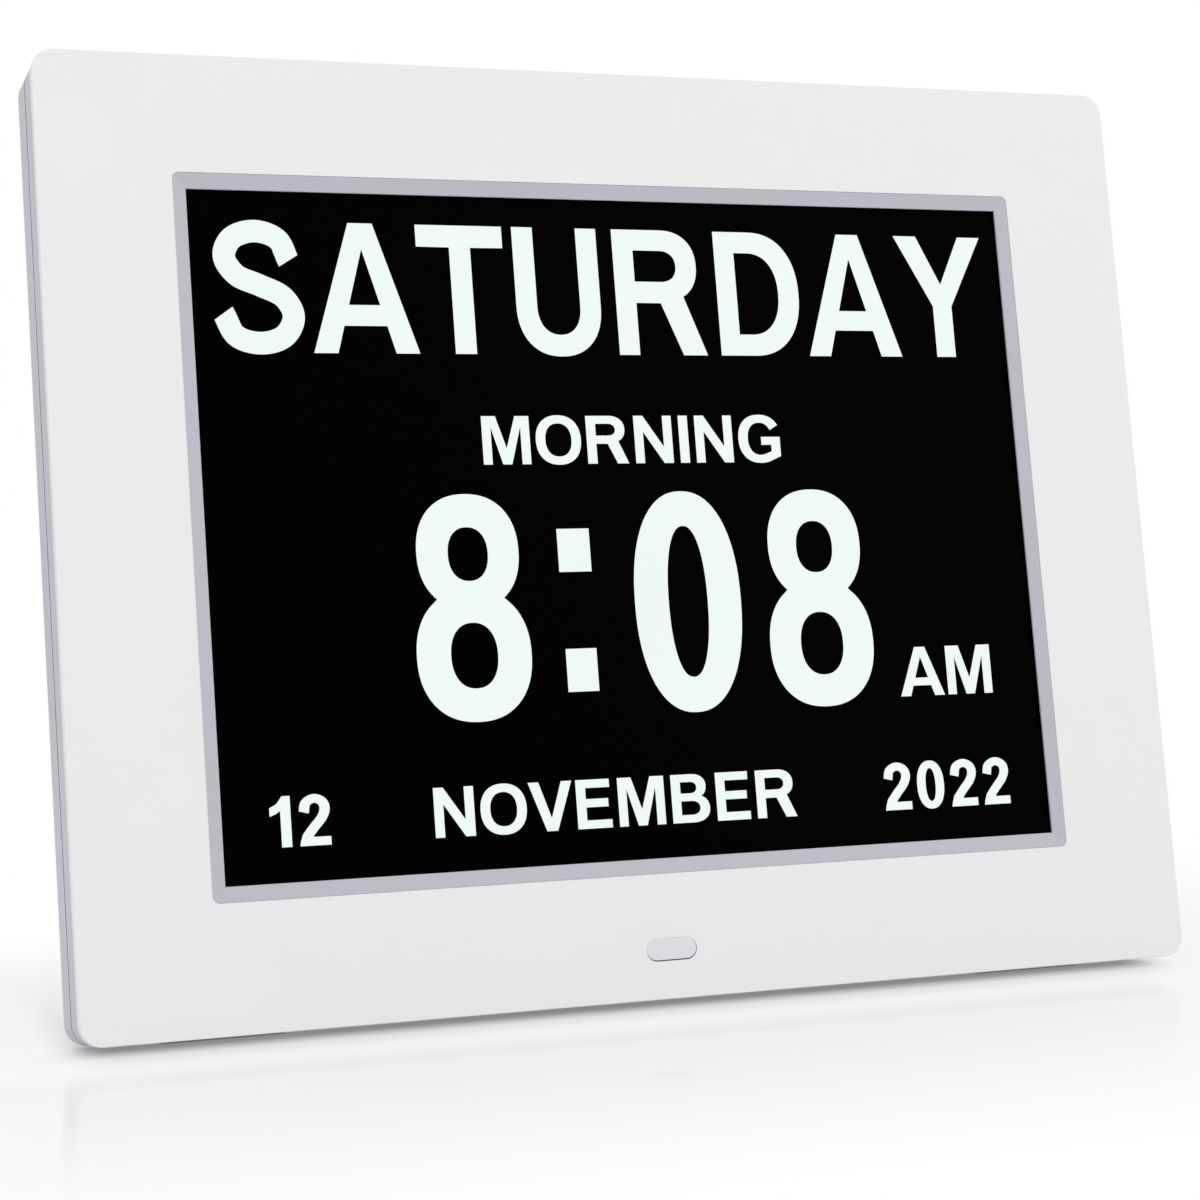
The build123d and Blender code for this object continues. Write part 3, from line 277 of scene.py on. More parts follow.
def faced_solid(rims):
    """Closed solid with a flat front and a flat back. A rim is a stack of outlines (rows × points
    × 2) with a depth for each row, from the front face over the edge to the back face; the first
    rim is the outside and the others are holes. The walls are the stacks' grids, and the two faces
    fill the space between the first rows and between the last rows."""
    points, faces, fronts, backs = [], [], [], []
    start = 0
    for outlines, depths in rims:
        rows, columns = outlines.shape[:2]
        place = on_panel(outlines[..., 0], outlines[..., 1], np.asarray(depths)[:, None])
        points.append(place.reshape(-1, 3))
        faces += (strip_faces(rows, columns) + start).tolist()
        fronts.append(start + np.arange(columns))
        backs.append(start + (rows - 1) * columns + np.arange(columns))
        start += rows * columns
    for row, ends in ((0, fronts), (-1, backs)):
        loops = [[Vector((x, y, 0.0)) for x, y in outlines[row]] for outlines, _ in rims]
        corners = np.array(tessellate_polygon(loops))
        faces += np.concatenate(ends)[corners].tolist()
    return np.concatenate(points), faces


def thin_solids(groups, front, back):
    """Flat solids of one thickness from groups of outlines, joined into one set of points."""
    points, faces = [], []
    start = 0
    for loops in groups:
        part, part_faces = faced_solid([(np.stack((loop, loop)), (front, back)) for loop in loops])
        points.append(part)
        faces += [[corner + start for corner in face] for face in part_faces]
        start += len(part)
    return np.concatenate(points), faces


def new_object(name, data):
    """An object in the scene."""
    made = bpy.data.objects.new(name, data)
    bpy.context.scene.collection.objects.link(made)
    return made


def add_piece(name, shape, material, body, replaced=()):
    """A finished piece from its points and faces: doubles merged, faces outwards, smooth but for
    its sharp edges, riding on a body of the clock."""
    points, faces = shape
    mesh = bpy.data.meshes.new(name)
    mesh.from_pydata(np.asarray(points).tolist(), [], faces)
    shaped = bmesh.new()
    shaped.from_mesh(mesh)
    bmesh.ops.remove_doubles(shaped, verts=shaped.verts, dist=MERGE_DISTANCE)
    bmesh.ops.recalc_face_normals(shaped, faces=shaped.faces)
    shaped.to_mesh(mesh)
    shaped.free()
    mesh.polygons.foreach_set("use_smooth", np.ones(len(mesh.polygons), bool))
    mesh.set_sharp_from_angle(angle=SHARP_ANGLE)
    mesh.materials.append(material)
    piece = new_object(name, mesh)
    normals = piece.modifiers.new("even faces", "WEIGHTED_NORMAL")
    normals.keep_sharp = True
    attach(piece, body)
    if replaced:
        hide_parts(*replaced)


# Characters of the display, drawn in parts of the capitals' height

STEM = 0.205
LEVEL = 0.17
OVERSHOOT = 0.015
LETTER_GAP = 0.16
TUCK = {
    "A": 0.075, "T": 0.06, "V": 0.075, "Y": 0.075, "O": 0.03, "S": 0.02, "G": 0.02, "D": 0.015,
}
ARC_STEP = 5.0
RUN_STEPS = 10
SQUARENESS = 2.25
SHORTEST_RUN = 1e-5


def outline(*parts):
    """Closed outline from points and runs of points, with repeated points dropped."""
    line = np.vstack([np.atleast_2d(np.asarray(part, float)) for part in parts])
    return line[np.linalg.norm(line - np.roll(line, 1, 0), axis=1) > SHORTEST_RUN]


def bow(across, height, half_width, half_height, start, end):
    """Run of a squarish ellipse: centre + half sizes · (cos, sin), each raised to 2 / squareness
    with its sign kept, between two angles in degrees."""
    turn = np.radians(np.linspace(start, end, int(abs(end - start) / ARC_STEP) + 1))
    wave = np.stack((np.cos(turn), np.sin(turn)), -1)
    bulge = np.sign(wave) * np.abs(wave) ** (2.0 / SQUARENESS)
    return np.array((across, height)) + bulge * np.array((half_width, half_height))


def ring(across, height, half_width, half_height):
    """Closed squarish ellipse."""
    return bow(across, height, half_width, half_height, 0, 360)[:-1]


def smooth_line(points):
    """Smooth line through the points: on each run the cubic whose slopes at its ends are half the
    step between the points on either side."""
    given = np.asarray(points, float)
    ends = np.vstack((2 * given[0] - given[1], given, 2 * given[-1] - given[-2]))
    before, here, there, after = (ends[k : len(ends) - 3 + k][:, None] for k in range(4))
    t = np.linspace(0.0, 1.0, RUN_STEPS, endpoint=False)[None, :, None]
    slope = there - before
    bend = 2 * before - 5 * here + 4 * there - after
    twist = 3 * here - before - 3 * there + after
    line = here + 0.5 * (slope * t + bend * t**2 + twist * t**3)
    return np.vstack((line.reshape(-1, 2), given[-1]))


def stroke_sides(line):
    """Both sides of a stroke drawn along a line: the line moved along its normal by half a stem
    where it runs upright, half a level bar where it runs level, and in between by their ellipse."""
    run = np.gradient(line, axis=0)
    run /= np.linalg.norm(run, axis=1, keepdims=True)
    normal = np.stack((-run[:, 1], run[:, 0]), -1)
    half = np.hypot(STEM / 2 * normal[:, 0], LEVEL / 2 * normal[:, 1])[:, None]
    return line + normal * half, line - normal * half


def figure_eight():
    """Outside of the 8: at each height the wider of two squarish ellipses, one above the other,
    each given by its middle, half height and half width."""
    low_bow, high_bow = (0.283, 0.298, 0.322), (0.752, 0.263, 0.288)
    height = 0.5 - 0.5 * np.cos(np.linspace(0.0, math.pi, 12 * RUN_STEPS + 1))
    height = -OVERSHOOT + height * (1 + 2 * OVERSHOOT)
    halves = []
    for middle, tall, reach in (low_bow, high_bow):
        left = np.clip(1 - np.abs((height - middle) / tall) ** SQUARENESS, 0, 1)
        halves.append(reach * left ** (1 / SQUARENESS))
    side = np.stack((np.maximum(*halves), height), -1)
    return np.vstack((side, (side * (-1, 1))[::-1])) + (low_bow[2], 0.0)


def letter_s():
    """The S as one stroke through points down its spine."""
    spine = (
        (0.715, 0.70), (0.625, 0.862), (0.42, 0.922), (0.21, 0.868), (0.125, 0.725), (0.23, 0.585),
        (0.43, 0.512), (0.645, 0.425), (0.735, 0.275), (0.635, 0.125), (0.42, 0.072), (0.20, 0.125),
        (0.092, 0.295),
    )
    left, right = stroke_sides(smooth_line(spine))
    return outline(left, right[::-1])


def figure_two():
    """The 2: one stroke over the top and down the slant, closed by a level foot."""
    spine = (
        (0.105, 0.66), (0.155, 0.845), (0.325, 0.925), (0.485, 0.855), (0.53, 0.71), (0.46, 0.54),
        (0.30, 0.36), (0.14, 0.17),
    )
    left, right = stroke_sides(smooth_line(spine))
    clear_of_foot = 0.005
    above = left[left[:, 1] > LEVEL + clear_of_foot]
    foot = (0.30, LEVEL), (0.63, LEVEL), (0.63, 0), (0, 0), (0.02, 0.10)
    return outline(above, *foot, right[::-1])


def draw_characters():
    """Width and outlines of every character: the outside first, then its holes. The T's stem
    starts a hair below its bar, so that no face of it is flat."""
    inner = 1 - LEVEL
    below_bar = inner - 0.002
    stem_left, stem_right = 0.42 - STEM / 2, 0.42 + STEM / 2
    fork_left, fork_right = 0.48 - STEM / 2, 0.48 + STEM / 2
    drawn = {
        "A": (1.0, (
            (0, 0), (0.385, 1), (0.615, 1), (1, 0), (0.775, 0), (0.703, 0.21), (0.297, 0.21),
            (0.225, 0),
        ), ((0.352, 0.37), (0.648, 0.37), (0.5, 0.80))),
        "B": (0.84, (
            (0, 0), (0, 1), bow(0.45, 0.745, 0.325, 0.255, 90, -52),
            bow(0.46, 0.288, 0.38, 0.288, 55, -90),
        ), (
            (STEM, 0.605), (STEM, 0.84), bow(0.42, 0.7225, 0.145, 0.1175, 90, -90)
        ), (
            (STEM, 0.16), (STEM, 0.445), bow(0.44, 0.3025, 0.185, 0.1425, 90, -90)
        )),
        "D": (
            0.86, ((0, 0), (0, 1), bow(0.36, 0.5, 0.5, 0.5, 90, -90)),
            ((STEM, LEVEL), (STEM, inner), bow(0.34, 0.5, 0.305, 0.5 - LEVEL, 90, -90)),
        ),
        "E": (0.75, (
            (0, 0), (0, 1), (0.73, 1), (0.73, inner), (STEM, inner), (STEM, 0.605), (0.69, 0.605),
            (0.69, 0.435), (STEM, 0.435), (STEM, LEVEL), (0.75, LEVEL), (0.75, 0),
        )),
        "G": (0.95, (
            bow(0.49, 0.5, 0.49, 0.515, 32, 292), (0.95, 0.125), (0.95, 0.54), (0.52, 0.54),
            (0.52, 0.37), (0.745, 0.37), (0.745, 0.23), bow(0.49, 0.5, 0.275, 0.345, 285, 30),
        )),
        "I": (STEM, ((0, 0), (0, 1), (STEM, 1), (STEM, 0))),
        "M": (1.02, (
            (0, 0), (0, 1), (0.30, 1), (0.51, 0.33), (0.72, 1), (1.02, 1), (1.02, 0), (0.83, 0),
            (0.83, 0.78), (0.605, 0), (0.415, 0), (0.19, 0.78), (0.19, 0),
        )),
        "N": (0.84, (
            (0, 0), (0, 1), (0.205, 1), (0.645, 0.335), (0.645, 1), (0.84, 1), (0.84, 0),
            (0.635, 0), (0.195, 0.665), (0.195, 0),
        )),
        "O": (0.98, ring(0.49, 0.5, 0.49, 0.5 + OVERSHOOT), ring(0.49, 0.5, 0.49 - STEM, 0.345)),
        "R": (0.90, (
            (0, 0), (0, 1), bow(0.49, 0.715, 0.355, 0.285, 90, -58), (0.90, 0), (0.655, 0),
            (0.455, 0.415), (STEM, 0.415), (STEM, 0),
        ), (
            (STEM, 0.585), (STEM, 0.835), bow(0.47, 0.71, 0.165, 0.125, 90, -90),
        )),
        "S": (0.84, letter_s()),
        "T": (0.84, (
            (0, 1), (0.84, 1), (0.84, inner), (stem_right, below_bar), (stem_right, 0),
            (stem_left, 0), (stem_left, below_bar), (0, inner),
        )),
        "U": (0.84, (
            (0, 1), bow(0.42, 0.38, 0.42, 0.38 + OVERSHOOT, 180, 360), (0.84, 1),
            (0.84 - STEM, 1), bow(0.42, 0.38, 0.42 - STEM, 0.225, 360, 180), (STEM, 1),
        )),
        "V": (
            0.94, ((0, 1), (0.225, 1), (0.47, 0.26), (0.715, 1), (0.94, 1), (0.585, 0), (0.355, 0))
        ),
        "Y": (0.96, (
            (0, 1), (0.245, 1), (0.48, 0.60), (0.715, 1), (0.96, 1), (fork_right, 0.42),
            (fork_right, 0), (fork_left, 0), (fork_left, 0.42),
        )),
        "0": (0.64, ring(0.32, 0.5, 0.32, 0.5 + OVERSHOOT), ring(0.32, 0.5, 0.118, 0.352)),
        "1": (0.42, (
            (0.215, 0), (0.215, 0.715), (0.115, 0.65), (0, 0.61), (0, 0.775), (0.15, 0.855),
            (0.26, 1), (0.42, 1), (0.42, 0),
        )),
        "2": (0.63, figure_two()),
        "8": (
            0.644, figure_eight(), ring(0.322, 0.742, 0.113, 0.122),
            ring(0.322, 0.283, 0.132, 0.148),
        ),
    }
    return {
        letter: (width, [outline(*loop) for loop in loops])
        for letter, (width, *loops) in drawn.items()
    }


# Rows of the display in millimetres: left, right, foot line, height of the capitals, and whether
# the row is fitted to the whole width or keeps its own proportions about the middle
ROWS = {
    "weekday": (-77.3, 77.6, 119.4, 24.1, True),
    "part_of_day": (-36.9, 38.7, 98.8, 9.0, False),
    "hours": (-44.0, -22.3, 52.5, 40.3, True),
    "minutes": (-1.4, 46.7, 52.5, 40.3, True),
    "half": (50.1, 73.0, 53.1, 9.4, False),
    "day": (-73.5, -60.8, 31.6, 8.9, False),
    "month": (-43.8, 29.0, 31.6, 8.9, False),
    "year": (45.9, 73.6, 31.6, 8.9, False),
}
# The colon's squares in millimetres: left, foot, width and height
COLON_SQUARES = ((-15.8, 78.7, 6.3, 8.0), (-15.7, 56.6, 6.0, 7.9))
# Rows that make one piece with the colon; every other row is a piece of its own
TIME_ROWS = ("hours", "minutes")


def row_outlines(word, row, shapes):
    """Outlines of a word on the panel: its characters side by side in parts of the capitals'
    height, then scaled to the row's height and either to its width or evenly about its middle."""
    missing = sorted(set(word) - set(shapes))
    if missing:
        raise ValueError(f"the display has no character for {missing}")
    left, right, foot, tall, fitted = row
    widths = np.array([shapes[letter][0] for letter in word])
    tucks = np.array([TUCK.get(letter, 0.0) for letter in word])
    gaps = LETTER_GAP - tucks[:-1] - tucks[1:]
    starts = np.concatenate(((0.0,), np.cumsum(widths[:-1] + gaps)))
    whole = starts[-1] + widths[-1]
    spread = (right - left) / whole if fitted else tall
    first = left if fitted else (left + right - whole * spread) / 2
    scale = np.array((spread, tall))
    return [
        [(loop * scale + (first + start * spread, foot)) * MM for loop in shapes[letter][1]]
        for letter, start in zip(word, starts)
    ]


def rectangle(left, low, width, height):
    """Outline of a plain rectangle."""
    return np.array(((0, 0), (1, 0), (1, 1), (0, 1))) * (width, height) + (left, low)


def symbol_outlines():
    """Raised symbols of the seven buttons as seen from behind, in parts of their height."""
    ring_start, ring_end, ring_points = 125.0, 415.0, 40
    outer, inner = 0.5, 0.36
    turn = np.radians(np.linspace(ring_start, ring_end, ring_points))
    circle = np.stack((np.cos(turn), np.sin(turn)), -1)
    arm, half = 0.5, 0.1
    tip = arm - half
    cross = [np.array(((half, 0), (arm, tip), (tip, arm)))]
    for _ in range(3):
        cross.append(cross[-1][:, ::-1] * (-1, 1))
    arrow = np.array(((-0.5, -0.4), (0.5, -0.4), (0.0, 0.5)))
    level_arrow = arrow[:, ::-1]
    return {
        "power": [
            [outline(circle * outer, circle[::-1] * inner)], [rectangle(-0.07, 0.05, 0.14, 0.53)]
        ],
        "menu": [[rectangle(-0.5, foot, 1.0, 0.16)] for foot in (-0.45, -0.08, 0.29)],
        "exit": [[np.vstack(cross)]],
        "up": [[arrow]],
        "down": [[arrow * (1, -1)]],
        "left": [[level_arrow * (-1, 1)]],
        "right": [[level_arrow]],
    }


# Finishes

# Moulded finishes: roughness, size and depth of the grain in millimetres, mottle and dust; the size
# of the case's grain is a setting
MOULDED = {
    "plate white": (0.40, 0.35, 0.006, 0.012, 0.08),
    "trim lilac grey": (0.36, 0.3, 0.004, 0.03, 0.05),
    "pill milky": (0.22, 0.25, 0.002, 0.015, 0.03),
    "case lilac grey": (0.48, None, 0.018, 0.03, 0.15),
    "button grey": (0.40, 0.3, 0.004, 0.03, 0.12),
    "rubber grey": (0.75, 0.5, 0.03, 0.10, 0.12),
    "foot milky": (0.6, 0.5, 0.01, 0.03, 0.12),
    "symbol grey": (0.5, 0.3, 0.004, 0.03, 0.0),
    "washer nylon": (0.45, 0.3, 0.003, 0.03, 0.12),
    "guide clear": (0.08, 0.8, 0.002, 0.01, 0.0),
    "tray white": (0.5, 0.4, 0.006, 0.03, 0.12),
    "light strip": (0.4, 0.6, 0.01, 0.03, 0.12),
    "part black": (0.5, 0.25, 0.008, 0.08, 0.12),
    "cone paper": (0.85, 0.7, 0.04, 0.15, 0.12),
    "cable film": (0.34, 0.5, 0.006, 0.08, 0.12),
}
# Roughness of the bare metals
METALS = {
    "screw steel": 0.34, "pin steel": 0.28, "sheet steel": 0.36, "zinc screws": 0.34,
    "can aluminium": 0.30, "cell steel": 0.24,
}
NOISE_SPAN = (0.3, 0.7)
DUST_COLOUR = (*srgb(196, 193, 186), 1.0)
WHITE = (1.0, 1.0, 1.0, 1.0)
# Factor for the painted shade in the case's seam groove
SEAM_PAINTED_SHADE = 0.3


def add_node(tree, kind, inputs=None, **settings):
    """A shader node with its settings, and its inputs set to values or linked to other outputs."""
    node = tree.nodes.new("ShaderNode" + kind)
    for name, value in settings.items():
        setattr(node, name, value)
    for name, value in (inputs or {}).items():
        if isinstance(value, bpy.types.NodeSocket):
            tree.links.new(value, node.inputs[name])
        else:
            node.inputs[name].default_value = value
    return node


def own_place(tree):
    """Place on the piece, in its own coordinates."""
    return add_node(tree, "TexCoord").outputs["Object"]


def noise(tree, place, rate, detail):
    """Soft noise with this many cells in a metre."""
    inputs = {"Vector": place, "Scale": rate, "Detail": detail}
    return add_node(tree, "TexNoise", inputs).outputs["Fac"]


def value_math(tree, operation, *values):
    """Output of a Math node."""
    return add_node(tree, "Math", dict(enumerate(values)), operation=operation).outputs[0]


def vector_math(tree, operation, *values):
    """Outputs of a Vector Math node."""
    return add_node(tree, "VectorMath", dict(enumerate(values)), operation=operation).outputs


def ramp(tree, value, start, end, low=0.0, high=1.0):
    """Low up to the start, high from the end on, and straight in between."""
    return add_node(tree, "MapRange", {0: value, 1: start, 2: end, 3: low, 4: high}).outputs[0]


def drift(tree, patches, middle, reach):
    """Value that wanders about its middle with the noise."""
    return ramp(tree, patches, *NOISE_SPAN, middle - reach, middle + reach)


def blend(tree, share, first, second):
    """Colour between two colours."""
    return add_node(tree, "Mix", {0: share, 6: first, 7: second}, data_type="RGBA").outputs[2]


def bump(tree, height, strength, distance):
    """Normal that follows a height."""
    inputs = {"Strength": strength, "Distance": distance, "Height": height}
    return add_node(tree, "Bump", inputs).outputs[0]


def feed(tree, node, **sources):
    """Links outputs to a node's inputs of the same names."""
    for name, source in sources.items():
        tree.links.new(source, node.inputs[name.replace("_", " ")])


def shade(colour, factor):
    """The colour times a factor, with full alpha."""
    return tuple(min(1.0, part * factor) for part in colour[:3]) + (1.0,)


def new_group(name, inputs, outputs):
    """An empty shader group with float sockets; returns its tree, input node and output node."""
    tree = bpy.data.node_groups.new(name, "ShaderNodeTree")
    new_socket = tree.interface.new_socket
    for socket, value in inputs.items():
        new_socket(socket, in_out="INPUT", socket_type="NodeSocketFloat").default_value = value
    for socket in outputs:
        new_socket(socket, in_out="OUTPUT", socket_type="NodeSocketFloat")
    return tree, tree.nodes.new("NodeGroupInput").outputs, tree.nodes.new("NodeGroupOutput")


def grain_group():
    """Moulded grain: fine noise whose cell is the grain size, over noise six times as coarse;
    Mottle is soft noise sixty times as coarse."""
    name = "moulded grain"
    if name not in bpy.data.node_groups:
        tree, given, out = new_group(name, {"Grain size": 0.5 * MM}, ("Height", "Mottle"))
        place = own_place(tree)
        rate = value_math(tree, "DIVIDE", 1.0, given["Grain size"])
        fine = noise(tree, place, rate, detail=2.0)
        coarse = noise(tree, place, value_math(tree, "MULTIPLY", rate, 1 / 6), detail=1.0)
        mottle = noise(tree, place, value_math(tree, "MULTIPLY", rate, 1 / 60), detail=3.0)
        coarse_share = 0.35
        height = value_math(tree, "MULTIPLY_ADD", coarse, coarse_share, fine)
        feed(tree, out, Height=height, Mottle=mottle)
    return bpy.data.node_groups[name]


def dust_group():
    """Settled dust: faces that look up, times patchy noise."""
    name = "settled dust"
    if name not in bpy.data.node_groups:
        tree, given, out = new_group(name, {"Amount": 0.1}, ("Mask",))
        coords = add_node(tree, "TexCoord").outputs
        facing = add_node(tree, "SeparateXYZ", {0: coords["Normal"]})
        upward = ramp(tree, facing.outputs["Z"], start=0.55, end=1.0)
        patches = noise(tree, coords["Object"], rate=260.0, detail=4.0)
        lying = value_math(tree, "MULTIPLY", upward, patches)
        feed(tree, out, Mask=value_math(tree, "MULTIPLY", lying, given["Amount"]))
    return bpy.data.node_groups[name]


def rolled_group():
    """Rolled metal: noise drawn out along the width, and a broader patchiness."""
    name = "rolled metal"
    if name not in bpy.data.node_groups:
        tree, given, out = new_group(name, {"Line rate": 6000.0}, ("Lines", "Patches"))
        place = own_place(tree)
        drawn = add_node(tree, "Mapping", {"Vector": place, "Scale": (0.02, 1.0, 1.0)})
        lines = noise(tree, drawn.outputs[0], given["Line rate"], detail=3.0)
        feed(tree, out, Lines=lines, Patches=noise(tree, place, rate=120.0, detail=3.0))
    return bpy.data.node_groups[name]


def new_material(name, **sockets):
    """A material with one Principled shader whose constant sockets are set here."""
    material = bpy.data.materials.new(name)
    material.use_nodes = True
    shader = material.node_tree.nodes["Principled BSDF"]
    for socket, value in sockets.items():
        shader.inputs[socket.replace("_", " ")].default_value = value
    return material, material.node_tree, shader


def moulded_plastic(name, colour, grain_size=None, seam=None, **sockets):
    """Moulded plastic: colour and roughness drift with soft mottle, the fine grain is a bump, and a
    little dust lies on what faces up. A seam gets painted shade between its two depths behind the
    face: its groove is darkened in the colour where its shadow falls."""
    roughness, size, depth, mottle, dust = MOULDED[name]
    grain_size = grain_size or size * MM
    material, tree, shader = new_material(name, **sockets)
    grain = add_node(tree, "Group", {"Grain size": grain_size}, node_tree=grain_group()).outputs
    dusty = add_node(tree, "Group", {"Amount": dust}, node_tree=dust_group()).outputs
    tone = blend(tree, grain["Mottle"], shade(colour, 1 - mottle), shade(colour, 1 + mottle))
    tone = blend(tree, dusty["Mask"], tone, DUST_COLOUR)
    # painted shade: the seam's groove between the two depths is darkened, standing in for its
    # shadow
    if seam:
        behind = vector_math(tree, "DOT_PRODUCT", own_place(tree), tuple(BACK))["Value"]
        middle, reach = float(CORNER @ BACK) + (seam[0] + seam[1]) / 2, (seam[1] - seam[0]) / 2
        seam_shadow = value_math(tree, "COMPARE", behind, middle, reach)
        tone = blend(tree, seam_shadow, tone, shade(colour, SEAM_PAINTED_SHADE))
    rough = drift(tree, grain["Mottle"], roughness, reach=0.05)
    normal = bump(tree, grain["Height"], strength=0.6, distance=depth * MM)
    feed(tree, shader, Base_Color=tone, Roughness=rough, Normal=normal)
    return material


def rolled_metal(name, colour):
    """Bare metal: rolling lines as a bump, patchy roughness and a slight change of tone."""
    material, tree, shader = new_material(name, Metallic=1.0)
    rolled = add_node(tree, "Group", node_tree=rolled_group()).outputs
    tone = blend(tree, rolled["Patches"], shade(colour, 0.92), shade(colour, 1.06))
    rough = drift(tree, rolled["Patches"], METALS[name], reach=0.06)
    normal = bump(tree, rolled["Lines"], strength=0.4, distance=0.004 * MM)
    feed(tree, shader, Base_Color=tone, Roughness=rough, Normal=normal)
    return material


def circuit_board(name, colour):
    """Solder mask over copper: square-cut patches of lighter green where tracks run below."""
    material, tree, shader = new_material(name, Roughness=0.38)
    inputs = {"Vector": own_place(tree), "Scale": 320.0}
    cells = add_node(tree, "TexVoronoi", inputs, distance="CHEBYCHEV", feature="F1")
    track = ramp(tree, cells.outputs["Distance"], start=0.30, end=0.36)
    tone = blend(tree, track, shade(colour, 1.5), shade(colour, 0.85))
    normal = bump(tree, track, strength=0.3, distance=0.03 * MM)
    feed(tree, shader, Base_Color=tone, Normal=normal)
    return material


def dark_screen(colour):
    """Dark display: nearly black, with the faint grain of its non-glare film."""
    sockets = {"Base_Color": (*colour, 1.0), "Specular_IOR_Level": 0.008}
    material, tree, shader = new_material("dark screen", **sockets)
    grain = add_node(tree, "Group", {"Grain size": 0.12 * MM}, node_tree=grain_group()).outputs
    rough = drift(tree, grain["Mottle"], middle=0.33, reach=0.03)
    normal = bump(tree, grain["Height"], strength=0.2, distance=0.004 * MM)
    feed(tree, shader, Roughness=rough, Normal=normal)
    return material


def lit_characters(colour):
    """Lit characters: light of their own, a touch uneven as a backlight is."""
    sockets = {"Base_Color": (0.0, 0.0, 0.0, 1.0), "Roughness": 0.5, "Specular_IOR_Level": 0.02}
    material, tree, shader = new_material("lit characters", Emission_Strength=1.0, **sockets)
    clouds = noise(tree, own_place(tree), rate=18.0, detail=1.0)
    glow = blend(tree, clouds, shade(colour, 0.97), shade(colour, 1.02))
    feed(tree, shader, Emission_Color=glow)
    return material


def dress(material, *nodes):
    """Gives the named solids a finish."""
    for node in nodes:
        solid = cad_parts[node]
        if not solid.material_slots:
            solid.data.materials.append(material)
        for place in solid.material_slots:
            place.material = material


# Operators


class CLOCK_OT_front_plate(bpy.types.Operator):
    """White front plate with its rounded edge, the window for the trim ring and the pill hole"""

    bl_idname = "clock.front_plate"
    bl_label = "Front plate"

    def execute(self, context):
        face = context.scene.clock_face
        back_band = 0.05 * MM
        insets, depths = quarter_round(face.plate_edge)
        insets = np.append(insets, (0.0, 0.0))
        depths = np.append(depths, (PLATE_THICKNESS - back_band, PLATE_THICKNESS))
        width, height = PLATE_WIDTH - 2 * insets, PLATE_HEIGHT - 2 * insets
        outside = rounded_rectangles(width, height, face.plate_corner - insets, PLATE_HEIGHT / 2)
        edge_insets, edge_depths = quarter_round(face.window_edge)
        edge_insets = np.append(edge_insets, 0.0)
        grown = edge_insets + WINDOW_CLEARANCE
        window = rounded_rectangles(
            SCREEN_WIDTH + 2 * np.append(face.trim_side + grown, (POCKET_WIDE, POCKET_WIDE)),
            SCREEN_HEIGHT + 2 * np.append(face.trim_level + grown, (POCKET_TALL, POCKET_TALL)),
            np.append(face.trim_corner + grown, (WINDOW_CLEARANCE, WINDOW_CLEARANCE)),
            SCREEN_MIDDLE,
        )
        window_depths = np.append(edge_depths, (POCKET_DEPTH, POCKET_DEPTH, PLATE_THICKNESS))
        grown = 2 * (edge_insets + PILL_CLEARANCE)
        pill = slot_outlines(face.pill_length + grown, face.pill_width + grown, PILL_HEIGHT)
        pill_depths = np.append(edge_depths, PLATE_THICKNESS)
        rims = [(outside, depths), (window, window_depths), (pill, pill_depths)]
        shape = faced_solid(rims)
        white = moulded_plastic("plate white", face.plate_colour)
        add_piece("front_plate", shape, white, "case", ("front_panel",))
        return {"FINISHED"}


class CLOCK_OT_trim_ring(bpy.types.Operator):
    """Lilac-grey ring that slopes from the plate down to the screen"""

    bl_idname = "clock.trim_ring"
    bl_label = "Trim ring"

    def execute(self, context):
        face = context.scene.clock_face
        outer_edge = 0.04 * MM
        rim_depth, inner_depth = 0.15 * MM, 0.8 * MM
        land = 0.2 * MM
        hollow = 0.06
        least_radius = 0.03 * MM
        round_insets, round_depths = quarter_round(outer_edge)
        slope = np.linspace(0.0, 1.0, SLOPE_ROWS)
        fall = slope + hollow * np.sin(math.pi * slope)
        sides, levels = (
            np.concatenate(((wide - round_insets)[::-1], (wide - land) * (1 - slope), (0.0, wide)))
            for wide in (face.trim_side, face.trim_level)
        )
        sloping = rim_depth + (inner_depth - rim_depth) * fall
        floor = (POCKET_DEPTH, POCKET_DEPTH)
        depths = np.concatenate(((rim_depth + round_depths)[::-1], sloping, floor))
        radii = np.maximum(least_radius, face.trim_corner + sides - face.trim_side)
        rings = rounded_rectangles(
            SCREEN_WIDTH + 2 * sides, SCREEN_HEIGHT + 2 * levels, radii, SCREEN_MIDDLE
        )
        points = on_panel(rings[..., 0], rings[..., 1], depths[:, None]).reshape(-1, 3)
        faces = strip_faces(*rings.shape[:2], joined=True).tolist()
        lilac = moulded_plastic("trim lilac grey", face.trim_colour)
        shape = points, faces
        add_piece("trim_ring", shape, lilac, "case", ("screen_trim",))
        return {"FINISHED"}


